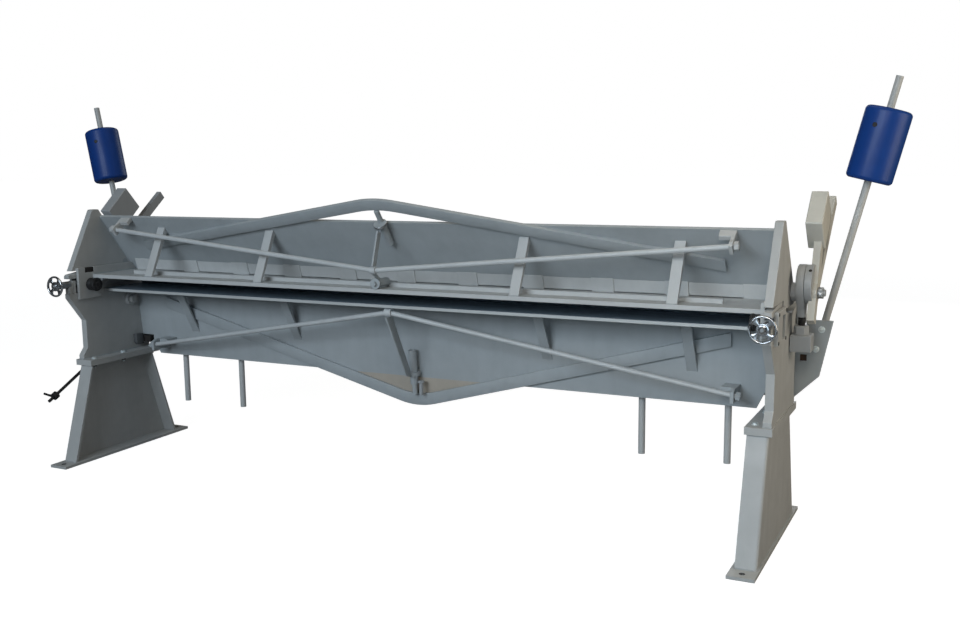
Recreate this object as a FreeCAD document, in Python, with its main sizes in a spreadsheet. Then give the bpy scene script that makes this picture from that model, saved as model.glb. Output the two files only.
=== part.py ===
import FreeCAD, Part

import math
import os
import re

import Sketcher
from FreeCAD import Placement, Rotation, Vector

# Hand-operated sheet metal folder, three metre class, in millimetres.
# X runs along the bending length, +Y points to the operator, +Z is up.
# The origin is on the floor, midway between the stands.

os.makedirs("parts", exist_ok=True)
doc = FreeCAD.newDocument("SheetMetalFolder")
sheet = doc.addObject("Spreadsheet::Sheet", "Sizes")
size = {}
nodes = {}

# Driving dimensions: name, value, what it is
DRIVING = [
    ("half_inner", 1540, "half the clear width between the side frames"),
    ("frame_wall", 30, "thickness of the side frame plates"),
    ("edge_break", 1, "chamfer on plate edges"),
    ("gap", 1, "free gap between neighbouring moving plates"),
    ("run_fit", 0.05, "radial clearance of a running fit"),
    ("bed_top", 776, "height of the working face of the bed"),
    ("bed_rear", -48, "rear edge of the bed"),
    ("bed_wall", 12, "thickness of the bed plate"),
    ("bend_y", 226, "bending line, where the folding beam turns"),
    ("foot_half", 398, "half the length of a floor plate"),
    ("foot_wall", 12, "thickness of a floor plate"),
    ("foot_in", 63, "how far a floor plate reaches inside the side frame"),
    ("anchor_y", 365, "floor anchor hole, distance from the middle"),
    ("anchor_in", 17, "floor anchor hole, inside the side frame's inner face"),
    ("bolt_in", 30, "foot bolts, inside the side frame's inner face"),
    ("anchor_hole", 9, "radius of a floor anchor hole"),
    ("leg_top", 436, "height of the leg under its top plate"),
    ("deck_wall", 13, "thickness of the leg top plate and of the frame foot"),
    ("deck_rear", -206, "rear end of the leg top plate"),
    ("deck_front", 245, "front end of the leg top plate"),
    ("leg_in", 51, "how far the leg flanges reach inside the side frame"),
    ("leg_out", 23, "outer face of the leg, outside the clear width"),
    ("leg_wall", 8, "thickness of the leg plate"),
    ("leg_bend", 10, "outer bend radius of the leg"),
    ("pivot_y", -138, "clamping beam pivot"),
    ("pivot_z", 806, "clamping beam pivot"),
    ("pivot_pin", 18, "radius of the clamping beam pivot pin"),
    ("slot_low", 770, "lower side of the slide slot in the side frame"),
    ("slot_high", 838, "upper side of the slide slot in the side frame"),
    ("slide_half", 48, "half the length of a slide block"),
    ("lean", 52.5, "slope of the clamping beam face plate, in degrees"),
    ("face_wall", 12, "thickness of the clamping beam face plate"),
    ("face_length", 428, "length of the face plate from the bending line"),
    ("blade_length", 62, "length of the bending blade up the face"),
    ("floor_z", 833, "underside of the clamping beam floor plate"),
    ("floor_wall", 16, "thickness of the clamping beam floor plate"),
    ("floor_rear", -120, "rear edge of the clamping beam floor plate"),
    ("shaft_y", 100, "eccentric shaft"),
    ("shaft_z", 886, "eccentric shaft"),
    ("shaft_pin", 17, "radius of the eccentric shaft"),
    ("throw", 29, "eccentric throw"),
    ("throw_angle", 82, "direction of the throw at rest, in degrees"),
    ("cam_radius", 46, "radius of the eccentric inside the strap"),
    ("strap_radius", 69, "outer radius of the strap"),
    ("anchor_block_y", 112, "lower pivot of the clamping link"),
    ("anchor_block_z", 702, "lower pivot of the clamping link"),
    ("block_size", 68, "depth of the clamping link block"),
    ("hub_wall", 19, "length of the hub of the eccentric shaft"),
    ("strap_wall", 28, "thickness of the strap"),
    ("flange_wall", 23, "thickness of the eccentric's flange"),
    ("arm_wall", 25, "thickness of the lever arms"),
    ("arm_angle", 67.4, "direction of the weight arm at rest, in degrees"),
    ("grip_angle", 39, "direction of the hand arm at rest, in degrees"),
    ("grip_length", 484, "length of the hand arm"),
    ("lever_block", 160, "length of the lever weight"),
    ("lever_block_wide", 128, "width of the lever weight"),
    ("lever_block_wall", 58, "thickness of the lever weight"),
    ("wheel_z", 812, "height of the setting spindle"),
    ("wheel_y", -315, "plane of the handwheel"),
    ("wheel_radius", 47, "outer radius of the handwheel"),
    ("web_y", 163, "rear face of the bed web at bed height"),
    ("web_slope", 0.1, "forward slope of the bed web, per unit of depth"),
    ("web_wall", 12, "thickness of the bed web"),
    ("web_bottom", 433, "lower edge of the bed web"),
    ("bow_inset", 190, "bow bar end, inside the side frame's inner face"),
    ("tie_inset", 138, "bed tie rod end, inside the side frame's inner face"),
    ("upper_tie_inset", 114, "clamping beam tie rod end, inside the side frame's inner face"),
    ("rib_inset", 340, "outer ribs, inside the side frame's inner face"),
    ("rib_inner", 600, "inner ribs, distance from the middle"),
    ("bow_width", 50, "width of a bow bar"),
    ("upper_bow_depth", 15, "depth of the clamping beam bow bar"),
    ("lower_bow_depth", 14, "depth of the bed bow bar"),
    ("upper_bow_end", 266, "bow bar centre at its ends, up the face plate"),
    ("upper_bow_peak", 537, "bow bar centre at midspan, up the face plate"),
    ("lower_bow_end", 692, "bed bow bar centre height at its ends"),
    ("lower_bow_peak", 325, "bed bow bar centre height at midspan"),
    ("tie_rod", 10, "radius of the tie rods"),
    ("apron_y", 229, "rear face of the folding beam web"),
    ("apron_wall", 12, "thickness of the folding beam web"),
    ("apron_bottom", 478, "lower edge of the folding beam web"),
    ("apron_face", 70, "depth of the folding beam working face"),
    ("apron_bar", 24, "thickness of the folding beam face bar"),
    ("wing_out", 157, "folding beam wing, outside the side frame's inner face"),
    ("handle_outer", 1326, "outer handles, distance from the middle"),
    ("handle_inner", 987, "inner handles, distance from the middle"),
    ("ear_radius", 60, "radius of the side frame's hinge ear"),
    ("eye_radius", 30, "radius of the folding beam's hinge eyes"),
    ("hinge_pin", 14, "radius of the hinge pins"),
    ("handle_bar", 13.5, "radius of the folding beam handles"),
    ("handle_y", 246, "centre line of the folding beam handles"),
    ("handle_low", 196, "lower end of the folding beam handles"),
    ("mast_rod", 13, "radius of the counterweight rods"),
    ("weight_radius", 80, "radius of a counterweight"),
    ("weight_length", 256, "length of a counterweight"),
    ("weight_lift", 652, "counterweight base above the rod foot, along the rod"),
    ("stop_rod", 7, "radius of the angle stop rod"),
    ("stop_reach", 640, "length of the angle stop rod"),
    ("stop_out", 52, "plane of the angle stop rod, outside the side frame's inner face"),
]

sheet.set("A1", "Driving dimensions of the sheet metal folder, mm and degrees")
for row, (alias, value, note) in enumerate(DRIVING, start=2):
    sheet.set(f"A{row}", note)
    sheet.set(f"B{row}", str(value))
    sheet.setAlias(f"B{row}", alias)
    size[alias] = float(value)
doc.recompute()


# Helpers

def linked(text):
    """Return an expression text with each alias written as a sheet reference."""
    return re.sub(r"[a-z_]+", lambda m: "Sizes." + m.group() if m.group() in size else m.group(), str(text))


def bind(target, prop, text):
    """Bind one property of an object to an expression on the sheet."""
    target.setExpression(prop, linked(text))


def place(target, x=0, y=0, z=0, axis=None, angle=0):
    """Place an object; the three coordinates are expressions on the sheet."""
    if axis is not None:
        target.Placement = Placement(Vector(), Rotation(Vector(*axis), 10))
        bind(target, "Placement.Rotation.Angle", angle)
    for name, text in (("x", x), ("y", y), ("z", z)):
        bind(target, "Placement.Base." + name, text)
    return target


def node(obj, name):
    """Name an object as one sub-part of the machine."""
    obj.Label = name
    nodes[name] = obj
    return obj


def box(name, length, width, height, x, y, z, axis=None, angle=0):
    """Make a block from its low corner."""
    obj = doc.addObject("Part::Box", name)
    for prop, text in (("Length", length), ("Width", width), ("Height", height)):
        bind(obj, prop, text)
    return place(obj, x, y, z, axis, angle)


TURN = {"X": ((0, 1, 0), 90), "Y": ((1, 0, 0), -90), "Z": (None, 0)}


def rod(name, radius, height, x, y, z, along="Z"):
    """Make a cylinder that starts at a point and runs along a positive axis."""
    obj = doc.addObject("Part::Cylinder", name)
    bind(obj, "Radius", radius)
    bind(obj, "Height", height)
    axis, angle = TURN[along]
    return place(obj, x, y, z, axis, angle)


def rod_between(name, radius, start, end):
    """Make a cylinder between two points given as numbers."""
    obj = doc.addObject("Part::Cylinder", name)
    bind(obj, "Radius", radius)
    run = end - start
    obj.Height = run.Length
    obj.Placement = Placement(start, Rotation(Vector(0, 0, 1), run))
    return obj


def joined(name, *parts):
    """Weld several shapes into one solid."""
    obj = doc.addObject("Part::MultiFuse", name)
    obj.Shapes = list(parts)
    obj.Refine = True
    return obj


def cut(name, base, *tools):
    """Cut tools away from a base shape."""
    obj = doc.addObject("Part::Cut", name)
    obj.Base = base
    obj.Tool = tools[0] if len(tools) == 1 else joined(name + "_tools", *tools)
    return obj


def group(name, *parts):
    """Keep several separate solids in one sub-part."""
    obj = doc.addObject("Part::Compound", name)
    obj.Links = list(parts)
    return obj


def outline(body, role, points, circles=()):
    """Sketch a closed polygon and circles, every point bound to the sheet."""
    sketch = body.newObject("Sketcher::SketchObject", body.Name + "_sketch")
    plane = [f for f in body.Origin.OriginFeatures if f.Role == role][0]
    sketch.AttachmentSupport = (plane, [""])
    sketch.MapMode = "FlatFace"
    value = [Vector(worked(u), worked(v), 0) for u, v in points]
    count = len(points)
    for i in range(count):
        sketch.addGeometry(Part.LineSegment(value[i], value[(i + 1) % count]))
    for i in range(count):
        sketch.addConstraint(Sketcher.Constraint("Coincident", i, 2, (i + 1) % count, 1))
    for i, (u, v) in enumerate(points):
        pin_point(sketch, i, 1, u, v, value[i])
    for u, v, radius in circles:
        centre = Vector(worked(u), worked(v), 0)
        index = sketch.addGeometry(Part.Circle(centre, Vector(0, 0, 1), worked(radius)))
        pin_point(sketch, index, 3, u, v, centre)
        number = sketch.addConstraint(Sketcher.Constraint("Radius", index, worked(radius)))
        bind(sketch, f"Constraints[{number}]", radius)
    return sketch


def pin_point(sketch, index, position, u, v, value):
    """Hold one sketch point at two expressions measured from the sketch origin."""
    for kind, text, number in (("DistanceX", u, value.x), ("DistanceY", v, value.y)):
        constraint = sketch.addConstraint(Sketcher.Constraint(kind, -1, 1, index, position, number))
        bind(sketch, f"Constraints[{constraint}]", text)


def worked(text):
    """Work out an expression on the sheet as a number, with angles in degrees."""
    degrees = {
        "sin": lambda a: math.sin(math.radians(a)),
        "cos": lambda a: math.cos(math.radians(a)),
        "tan": lambda a: math.tan(math.radians(a)),
    }
    total = 0.0
    sign = 1.0
    for term in re.findall(r"[+-]|[^+\s-]+(?:\s*[*/]\s*[^+\s-]+)*", str(text)):
        if term in "+-":
            sign = 1.0 if term == "+" else -1.0
            continue
        product = 1.0
        for operator, factor in re.findall(r"([*/]?)\s*([^*/\s]+)", term):
            call = re.match(r"(sin|cos|tan)\((\w+)\)", factor)
            if call:
                number = degrees[call.group(1)](size[call.group(2)])
            else:
                number = size[factor] if factor in size else float(factor)
            product = product / number if operator == "/" else product * number
        total += sign * product
        sign = 1.0
    return total


def plate(name, role, points, wall, circles=(), chamfer=True, both=False):
    """Make a plate body: a sketched outline given a thickness, with broken edges."""
    body = doc.addObject("PartDesign::Body", name)
    sketch = outline(body, role, points, circles)
    pad = body.newObject("PartDesign::Pad", name + "_pad")
    pad.Profile = sketch
    bind(pad, "Length", wall)
    if both:
        pad.Midplane = True
    doc.recompute()
    if chamfer:
        edge = body.newObject("PartDesign::Chamfer", name + "_edges")
        edge.Base = (pad, [""])
        edge.UseAllEdges = True
        bind(edge, "Size", "edge_break")
        body.Tip = edge
    doc.recompute()
    return body


def turned(name, points, chamfer=False):
    """Turn a half profile of radius and height about the local Z axis."""
    body = doc.addObject("PartDesign::Body", name)
    sketch = outline(body, "XZ_Plane", points)
    spin = body.newObject("PartDesign::Revolution", name + "_turn")
    spin.Profile = sketch
    spin.ReferenceAxis = (sketch, ["V_Axis"])
    spin.Angle = 360
    doc.recompute()
    return body


def sleeve(name, outer, inner, height):
    """Make a plain tube standing on its own origin."""
    return turned(name, [(inner, 0), (outer, 0), (outer, height), (inner, height)])


def flip(text):
    """Return an expression with the opposite sign."""
    swapped = str(text).replace("+", "#").replace(" - ", " + ").replace("#", "-")
    return "0 - " + swapped


def outside(side, text):
    """Return an X expression on one side of the machine."""
    return text if side > 0 else flip(text)


def layer(side, inner, wall):
    """Return the low X of a plate on one side from its inner face and its thickness."""
    return worked(inner) if side > 0 else -worked(inner) - worked(wall)


def on_face(along, off):
    """Return Y and Z of a point up the clamping beam face plate and off its front."""
    lean = math.radians(size["lean"])
    y = size["bend_y"] - along * math.cos(lean) - off * math.sin(lean)
    z = size["bed_top"] + along * math.sin(lean) - off * math.cos(lean)
    return y, z


def polar(y, z, radius, degrees):
    """Return Y and Z of a point at a radius and direction from another point."""
    turn = math.radians(degrees)
    return y + radius * math.cos(turn), z + radius * math.sin(turn)


def fixed(points):
    """Return number pairs as the texts that a sketch outline takes."""
    return [(f"{u:.3f}", f"{v:.3f}") for u, v in points]


SIDES = (("left", -1), ("right", 1))


def outward(side, y, z, start=0.0):
    """Return the placement of a turned piece that points out from a side frame's inner face."""
    turn = Rotation(Vector(0, 0, 1), Vector(side, 0, 0))
    return Placement(Vector(side * (size["half_inner"] + start), y, z), turn)


# Stands: floor plate, folded leg and top plate welded together

def make_stand(label, side):
    """Make one welded stand."""
    name = "stand_" + label
    leg = doc.addObject("PartDesign::Body", name + "_leg")
    skin = [
        ("71 - foot_half", "foot_wall"), ("foot_half - 75", "foot_wall"), ("deck_front - 55", "leg_top"),
        ("deck_rear + 12", "leg_top"),
    ]
    pad = leg.newObject("PartDesign::Pad", name + "_leg_pad")
    pad.Profile = outline(leg, "YZ_Plane", skin)
    bind(pad, "Length", "leg_in + leg_out")
    doc.recompute()
    outer = size["leg_in"] + size["leg_out"] if side > 0 else 0.0
    bends = [
        f"Edge{i}"
        for i, edge in enumerate(pad.Shape.Edges, start=1)
        if abs(edge.BoundBox.XMin - outer) < 0.01
        and abs(edge.BoundBox.XMax - outer) < 0.01
        and edge.BoundBox.ZLength > 100
    ]
    bend = leg.newObject("PartDesign::Fillet", name + "_leg_bend")
    bend.Base = (pad, bends)
    bind(bend, "Radius", "leg_bend")
    leg.Tip = bend
    hollow = [
        ("71 - foot_half + leg_wall", 0), ("foot_half - 75 - leg_wall", 0),
        ("deck_front - 55 - leg_wall", "leg_top + 1"), ("deck_rear + 12 + leg_wall", "leg_top + 1"),
    ]
    core = plate(name + "_core", "YZ_Plane", hollow, "leg_in + leg_out", chamfer=False)
    leg_x = "half_inner - leg_in" if side > 0 else "-1 * half_inner - leg_out"
    core_x = "half_inner - leg_in - leg_wall" if side > 0 else "-1 * half_inner - leg_out + leg_wall"
    place(leg, leg_x)
    place(core, core_x)
    channel = cut(name + "_channel", leg, core)
    floor_x = "half_inner - foot_in" if side > 0 else "-1 * half_inner - frame_wall"
    floor = box(
        name + "_floor", "foot_in + frame_wall", "2 * foot_half", "foot_wall", floor_x, "-1 * foot_half", 0,
    )
    deck_x = "half_inner - foot_in + 5" if side > 0 else "-1 * half_inner - frame_wall - 5"
    deck_wide = "foot_in + frame_wall"
    deck = box(
        name + "_deck", deck_wide, "deck_front - deck_rear", "deck_wall", deck_x, "deck_rear", "leg_top",
    )
    weld = joined(name + "_weld", floor, channel, deck)
    anchor_x = outside(side, "half_inner - anchor_in")
    bores = [
        rod(
            f"{name}_bore_{i}", "anchor_hole", "4 * foot_wall", anchor_x, f"{end} * anchor_y",
            "-1 * foot_wall",
        )
        for i, end in enumerate((-1, 1))
    ]
    bores += [
        rod(f"{name}_bolt_bore_{i}", 6.5, 40, outside(side, "half_inner - bolt_in"), y, "leg_top - 10")
        for i, y in enumerate(DECK_BOLTS)
    ]
    node(cut(name, weld, *bores), name)


DECK_BOLTS = ("deck_rear + 46", 20, "deck_front - 40")
for label, side in SIDES:
    make_stand(label, side)


# Side frames: thick plate with a slide slot, a hinge ear and a bolted foot

def make_side_frame(label, side):
    """Make one side frame."""
    name = "side_frame_" + label
    head = "slot_high + 14"
    points = [
        ("deck_rear + 14", "leg_top + 2 * deck_wall"),
        ("deck_rear + 14", "leg_top + 2 * deck_wall + 18"),
        ("deck_rear + 41", "leg_top + 2 * deck_wall + 51"),
        ("deck_rear + 41", "slot_low - 130"),
        ("pivot_y - 111", "slot_low - 20"),
        ("pivot_y - 111", "slot_low"),
        ("pivot_y + slide_half + 10", "slot_low"),
        ("pivot_y + slide_half + 10", "slot_high"),
        ("pivot_y - 111", "slot_high"),
        ("pivot_y - 111", head),
        ("pivot_y + slide_half + 28", head),
        ("pivot_y + slide_half + 28", "bed_top + 14"),
        ("pivot_y + slide_half + 35", "bed_top + 13"),
        ("shaft_y - 95", "bed_top + 43"),
        ("shaft_y - 40", "bed_top + 42"),
        ("shaft_y + 10", "bed_top + 34"),
        ("bend_y - 67", "bed_top + 35"),
        ("bend_y - 40", "bed_top + 43"),
        ("bend_y", "bed_top + ear_radius - 17"),
        ("bend_y + ear_radius - 10", "bed_top"),
        ("bend_y + 28", "bed_top - 46"),
        ("deck_front - 33", "bed_top - 86"),
        ("deck_front - 33", "leg_top + 2 * deck_wall + 38"),
        ("deck_front - 18", "leg_top + 2 * deck_wall + 18"),
        ("deck_front - 18", "leg_top + 2 * deck_wall"),
    ]
    body = plate(name + "_plate", "YZ_Plane", points, "frame_wall")
    place(body, "half_inner" if side > 0 else "-1 * half_inner - frame_wall")
    ear_x = "half_inner" if side > 0 else "-1 * half_inner - frame_wall"
    ear = rod(name + "_ear", "ear_radius", "frame_wall", ear_x, "bend_y", "bed_top", along="X")
    foot_x = "half_inner - foot_in + 5" if side > 0 else "-1 * half_inner - frame_wall - 5"
    foot = box(
        name + "_foot", "foot_in + frame_wall", "deck_front - deck_rear", "deck_wall",
        foot_x, "deck_rear", "leg_top + deck_wall",
    )
    weld = joined(name + "_weld", body, ear, foot)
    bore = rod(
        name + "_ear_bore", "hinge_pin", "4 * frame_wall", f"{side} * half_inner - 60", "bend_y", "bed_top",
        along="X",
    )
    trunnion = rod(
        name + "_link_bore", 10, 80, f"{side} * half_inner - 40", "anchor_block_y", "anchor_block_z",
        along="X",
    )
    bolts = [
        rod(f"{name}_bolt_bore_{i}", 6.5, 40, outside(side, "half_inner - bolt_in"), y, "leg_top")
        for i, y in enumerate(DECK_BOLTS)
    ]
    node(cut(name, weld, bore, trunnion, *bolts), name)


for label, side in SIDES:
    make_side_frame(label, side)


# Hexagon bolts that hold the side frames on the stands

def hex_bolt(name, shank, length, flats, head, x, y, z, axis=None, angle=0):
    """Make a bolt standing head up: the place is the middle of the face under its head."""
    body = doc.addObject("Part::Prism", name + "_head")
    body.Polygon = 6
    bind(body, "Circumradius", f"{flats} / 1.732")
    bind(body, "Height", head)
    stem = doc.addObject("Part::Cylinder", name + "_shank")
    bind(stem, "Radius", shank)
    bind(stem, "Height", length)
    bind(stem, "Placement.Base.z", f"-1 * {length}")
    bolt = joined(name, body, stem)
    return place(bolt, x, y, z, axis, angle)


node(
    group("frame_bolts", *[
        hex_bolt(
            f"frame_bolt_{label}_{i}", 6, 44, 19, 8, outside(side, "half_inner - bolt_in"), y,
            "leg_top + 2 * deck_wall",
        )
        for label, side in SIDES
        for i, y in enumerate(DECK_BOLTS)
    ]),
    "frame_bolts",
)


# Bed: plate, front bar, sloping web with ribs, bow bar and tie rods

node(
    box("bed_plate", "2 * half_inner - 2", "bend_y - 1 - bed_rear", "bed_wall",
        "1 - half_inner", "bed_rear", "bed_top - bed_wall"),
    "bed_plate",
)
node(
    box("bed_front_bar", "2 * half_inner - 2", 26, 34,
        "1 - half_inner", "bend_y - 1 - 26", "bed_top - bed_wall - 34"),
    "bed_front_bar",
)


def web_y(z):
    """Return the rear face of the bed web at a height."""
    return size["web_y"] + size["web_slope"] * (size["bed_top"] - z)


def make_web():
    """Make the sloping web with its cut corners."""
    top = "bed_top - bed_wall"
    rise = "web_y + web_slope * bed_top - web_slope"
    section = [
        (f"{rise} * web_bottom", "web_bottom"),
        (f"{rise} * web_bottom + web_wall", "web_bottom"),
        ("web_y + web_slope * bed_wall + web_wall", top),
        ("web_y + web_slope * bed_wall", top),
    ]
    body = doc.addObject("PartDesign::Body", "bed_web_plate")
    pad = body.newObject("PartDesign::Pad", "bed_web_pad")
    pad.Profile = outline(body, "YZ_Plane", section)
    bind(pad, "Length", "2 * half_inner - 2")
    pad.Midplane = True
    doc.recompute()
    corners = []
    for label, side in SIDES:
        corner = [
            (outside(side, "half_inner - 100"), "web_bottom - 1"),
            (outside(side, "half_inner - 100"), "web_bottom"),
            (outside(side, "half_inner - 68"), "web_bottom + 67"),
            (outside(side, "half_inner - 68"), "web_bottom + 90"),
            (outside(side, "half_inner"), "web_bottom + 90"),
            (outside(side, "half_inner"), "web_bottom - 1"),
        ]
        tool = plate("bed_web_corner_" + label, "XZ_Plane", corner, 200, chamfer=False)
        corners.append(place(tool, 0, 320, 0))
    node(cut("bed_web", body, *corners), "bed_web")


make_web()


def bow_bar(name, end, peak, depth, half):
    """Make a bow bar in its own plane: two straight arms that meet in a soft bend."""
    lift = worked(peak) - worked(end)
    run = worked(half)
    width = size["bow_width"]
    slope = math.atan2(lift, run)
    rise = width / 2 / math.cos(slope)
    flat = 60.0
    ease = abs(flat * math.tan(slope)) / 2
    sign = 1 if lift > 0 else -1
    knee = worked(peak) - flat * math.tan(slope)
    crown = worked(peak) - sign * ease
    shape = [
        (-run, worked(end) - rise), (-flat, knee - rise), (0, crown - rise), (flat, knee - rise),
        (run, worked(end) - rise), (run, worked(end) + rise), (flat, knee + rise), (0, crown + rise),
        (-flat, knee + rise), (-run, worked(end) + rise),
    ]
    return plate(name, "XY_Plane", fixed(shape), depth)


def make_bed_bow():
    """Lay the bed bow bar on the rear face of the web."""
    tilt = math.degrees(math.atan(size["web_slope"]))
    stretch = 1 / math.cos(math.radians(tilt))
    end = f"{(size['lower_bow_end'] - size['bed_top']) * stretch:.3f}"
    peak = f"{(size['lower_bow_peak'] - size['bed_top']) * stretch:.3f}"
    bar = bow_bar("bed_bow", end, peak, "lower_bow_depth", "half_inner - bow_inset")
    turn = Rotation(Vector(1, 0, 0), 90 + tilt)
    bar.Placement = Placement(Vector(0, size["web_y"] - 0.05, size["bed_top"]), turn)
    node(bar, "bed_bow")


make_bed_bow()


def rib_places(shift):
    """Return X of the four ribs, with the inner pair moved out by a small shift."""
    inner = size["rib_inner"] + shift
    outer = size["half_inner"] - size["rib_inset"]
    return (-outer, -inner, inner, outer)


def make_bed_ribs():
    """Make the four flat ribs between the bed and the web."""
    ribs = []
    under = size["bed_top"] - size["bed_wall"]
    for i, x in enumerate(rib_places(10)):
        low = under - 208
        points = [(70, under), (86, under), (web_y(low + 19) - 0.3, low + 19), (web_y(low) - 0.3, low)]
        rib = plate(f"bed_rib_{i}", "YZ_Plane", fixed(points), 40, both=True)
        ribs.append(place(rib, x))
    node(group("bed_ribs", *ribs), "bed_ribs")


make_bed_ribs()


def tie_rods(name, inset, end, centre, hub_radius, hub_length):
    """Make two tie rods welded to a hub on the centre line."""
    arms = []
    for label, side in SIDES:
        start = Vector(side * (size["half_inner"] - size[inset]), *end)
        stop = Vector(0, centre[0], centre[1])
        arms.append(rod_between(f"{name}_{label}", "tie_rod", start, stop))
    hub = doc.addObject("Part::Cylinder", name + "_hub")
    bind(hub, "Radius", hub_radius)
    bind(hub, "Height", hub_length)
    hub.Placement = Placement(Vector(-hub_length / 2, centre[0], centre[1]), Rotation(Vector(0, 1, 0), 90))
    return joined(name, *arms, hub)


def tie_ends(name, inset, end, centre, leg_points, shelf_points, wall, reach):
    """Make the angle brackets that the tie rods pass through and their nuts."""
    pieces = []
    for label, side in SIDES:
        far = size["half_inner"] - size[inset]
        start = Vector(side * far, *end)
        run = Vector(0, centre[0], centre[1]) - start
        run.normalize()
        parts = []
        for piece, points, width in (("leg", leg_points, wall), ("shelf", shelf_points, 58)):
            bar = plate(f"{name}_{piece}_{label}", "YZ_Plane", fixed(points), width)
            outer = far - reach + wall
            x = outer - width if side > 0 else -outer
            bar.Placement = Placement(Vector(x, 0, 0), Rotation())
            parts.append(bar)
        lug = joined(f"{name}_lug_{label}", *parts)
        bore = doc.addObject("Part::Cylinder", f"{name}_bore_{label}")
        bind(bore, "Radius", "tie_rod + 0.2")
        bore.Height = 120
        bore.Placement = Placement(start - run * 20, Rotation(Vector(0, 0, 1), run))
        pieces.append(cut(f"{name}_lug_cut_{label}", lug, bore))
        nut = doc.addObject("Part::Prism", f"{name}_nut_{label}")
        nut.Polygon = 6
        nut.Circumradius = 17.3
        nut.Height = 16
        slant = math.hypot(run.y, run.z)
        seat = (reach - wall - 0.05 - 17.3 * slant) / abs(run.x)
        nut.Placement = Placement(start + run * (seat - 16), Rotation(Vector(0, 0, 1), run))
        hole = doc.addObject("Part::Cylinder", f"{name}_nut_bore_{label}")
        bind(hole, "Radius", "tie_rod + 0.02")
        hole.Height = 60
        hole.Placement = Placement(start - run * 20, Rotation(Vector(0, 0, 1), run))
        pieces.append(cut(f"{name}_nut_cut_{label}", nut, hole))
    return group(name, *pieces)


BED_TIE_END = (100, 491)
BED_TIE_CENTRE = (-26, 742)
node(tie_rods("bed_tie_rods", "tie_inset", BED_TIE_END, BED_TIE_CENTRE, 17, 30), "bed_tie_rods")
node(
    tie_ends(
        "bed_tie_ends", "tie_inset", BED_TIE_END, BED_TIE_CENTRE,
        [(76, 470), (76, 512), (96, 521), (web_y(521) - 0.2, 521), (web_y(470) - 0.2, 470)],
        [(118, 505), (118, 521), (web_y(521) - 0.2, 521), (web_y(505) - 0.2, 505)], 14, 34,
    ),
    "bed_tie_ends",
)


def make_bed_strut():
    """Make the flat strut and the tube post at midspan of the bed."""
    tilt = math.degrees(math.atan(size["web_slope"]))
    lean = Rotation(Vector(1, 0, 0), 180 + tilt)
    down = lean.multVec(Vector(0, 0, 1))
    start = Vector(0, web_y(556) - 26.8, 556)
    back = lean.multVec(Vector(0, 1, 0))
    high = start + down * 96 + back * 26.3
    low = start + down * 112 + back * 26.3
    top = BED_TIE_CENTRE[1] - 17.2
    points = [(-44, top), (-8, top), (high.y, high.z), (low.y, low.z), (low.y - 24, low.z + 4)]
    strut = plate("bed_strut", "YZ_Plane", fixed(points), 8, both=True)
    node(strut, "bed_strut")
    tube = sleeve("bed_post_tube", 17, 11, 150)
    tube.Placement = Placement(start, lean)
    screw = doc.addObject("Part::Cylinder", "bed_post_screw")
    screw.Radius = 11
    screw.Height = 176
    screw.Placement = Placement(start + down * 20, lean)
    collar = sleeve("bed_post_collar", 26, 17, 16)
    collar.Placement = Placement(start + down * 96, lean)
    node(joined("bed_post", tube, screw, collar), "bed_post")


make_bed_strut()


# Height adjusters of the bed, two stepped discs on the inner face of each side frame

def make_bosses():
    """Make the stepped adjusting discs under the bed."""
    discs = []
    for label, side in SIDES:
        profile = [(0, 0), (30, 0), (30, 14), (28, 16), (17, 16), (17, 30), (15, 32), (0, 32)]
        body = turned("bed_boss_" + label, profile)
        middle = Vector(side * size["half_inner"], size["anchor_block_y"] + 1, size["anchor_block_z"] + 5)
        body.Placement = Placement(middle, Rotation(Vector(0, 0, 1), Vector(-side, 0, 0)))
        discs.append(body)
    node(group("bed_bosses", *discs), "bed_bosses")


make_bosses()


# Slide guides: thrust plate behind each slide slot and windowed keeper outside it

def make_guides():
    """Make the thrust plates and the keepers."""
    pieces = []
    for label, side in SIDES:
        thrust = box(
            "thrust_block_" + label, "frame_wall - 2", 14, "slot_high - slot_low - 10",
            "half_inner + 1" if side > 0 else "1 - half_inner - frame_wall", "pivot_y - 86", "slot_low",
        )
        spindle_x = outside(side, "half_inner + frame_wall / 2")
        bore = rod("thrust_bore_" + label, 10.4, 40, spindle_x, "pivot_y - 98", "wheel_z", along="Y")
        pieces.append(cut("thrust_plate_" + label, thrust, bore))
        frame = [
            ("pivot_y - 67", "slot_low - 29"), ("pivot_y + 76", "slot_low - 29"),
            ("pivot_y + 76", "slot_high + 16"), ("pivot_y - 67", "slot_high + 16"),
        ]
        keeper = plate("keeper_plate_" + label, "YZ_Plane", frame, 14)
        low = "half_inner + frame_wall" if side > 0 else "-1 * half_inner - frame_wall - 14"
        place(keeper, low)
        window = box(
            "keeper_window_" + label, 60, 46, "slot_high - slot_low + 14",
            f"{worked('half_inner + 38') * side - 30:.3f}", "pivot_y + 8", "slot_low - 18",
        )
        pieces.append(cut("keeper_" + label, keeper, window))
    node(group("slide_guides", *pieces), "slide_guides")


make_guides()


# Pins on the frame: hinge pins of the folding beam and trunnions of the clamping links

def make_frame_pins():
    """Make the headed hinge pins and the link trunnions."""
    hinges = []
    trunnions = []
    for label, side in SIDES:
        pin = turned(
            "hinge_pin_" + label,
            [(0, 0), ("hinge_pin", 0), ("hinge_pin", 51), (22, 51), (22, 59), (20, 61), (0, 61)],
        )
        pin.Placement = outward(side, size["bend_y"], size["bed_top"])
        hinges.append(pin)
        stub = turned("link_pin_" + label, [(0, 0), (10, 0), (10, 47), (9, 48), (0, 48)])
        stub.Placement = outward(side, size["anchor_block_y"], size["anchor_block_z"])
        trunnions.append(stub)
    node(group("hinge_pins", *hinges), "hinge_pins")
    node(group("link_pins", *trunnions), "link_pins")


make_frame_pins()


# Clamping beam: face plate, floor plate, ends, blade, clamping strip, truss

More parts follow.
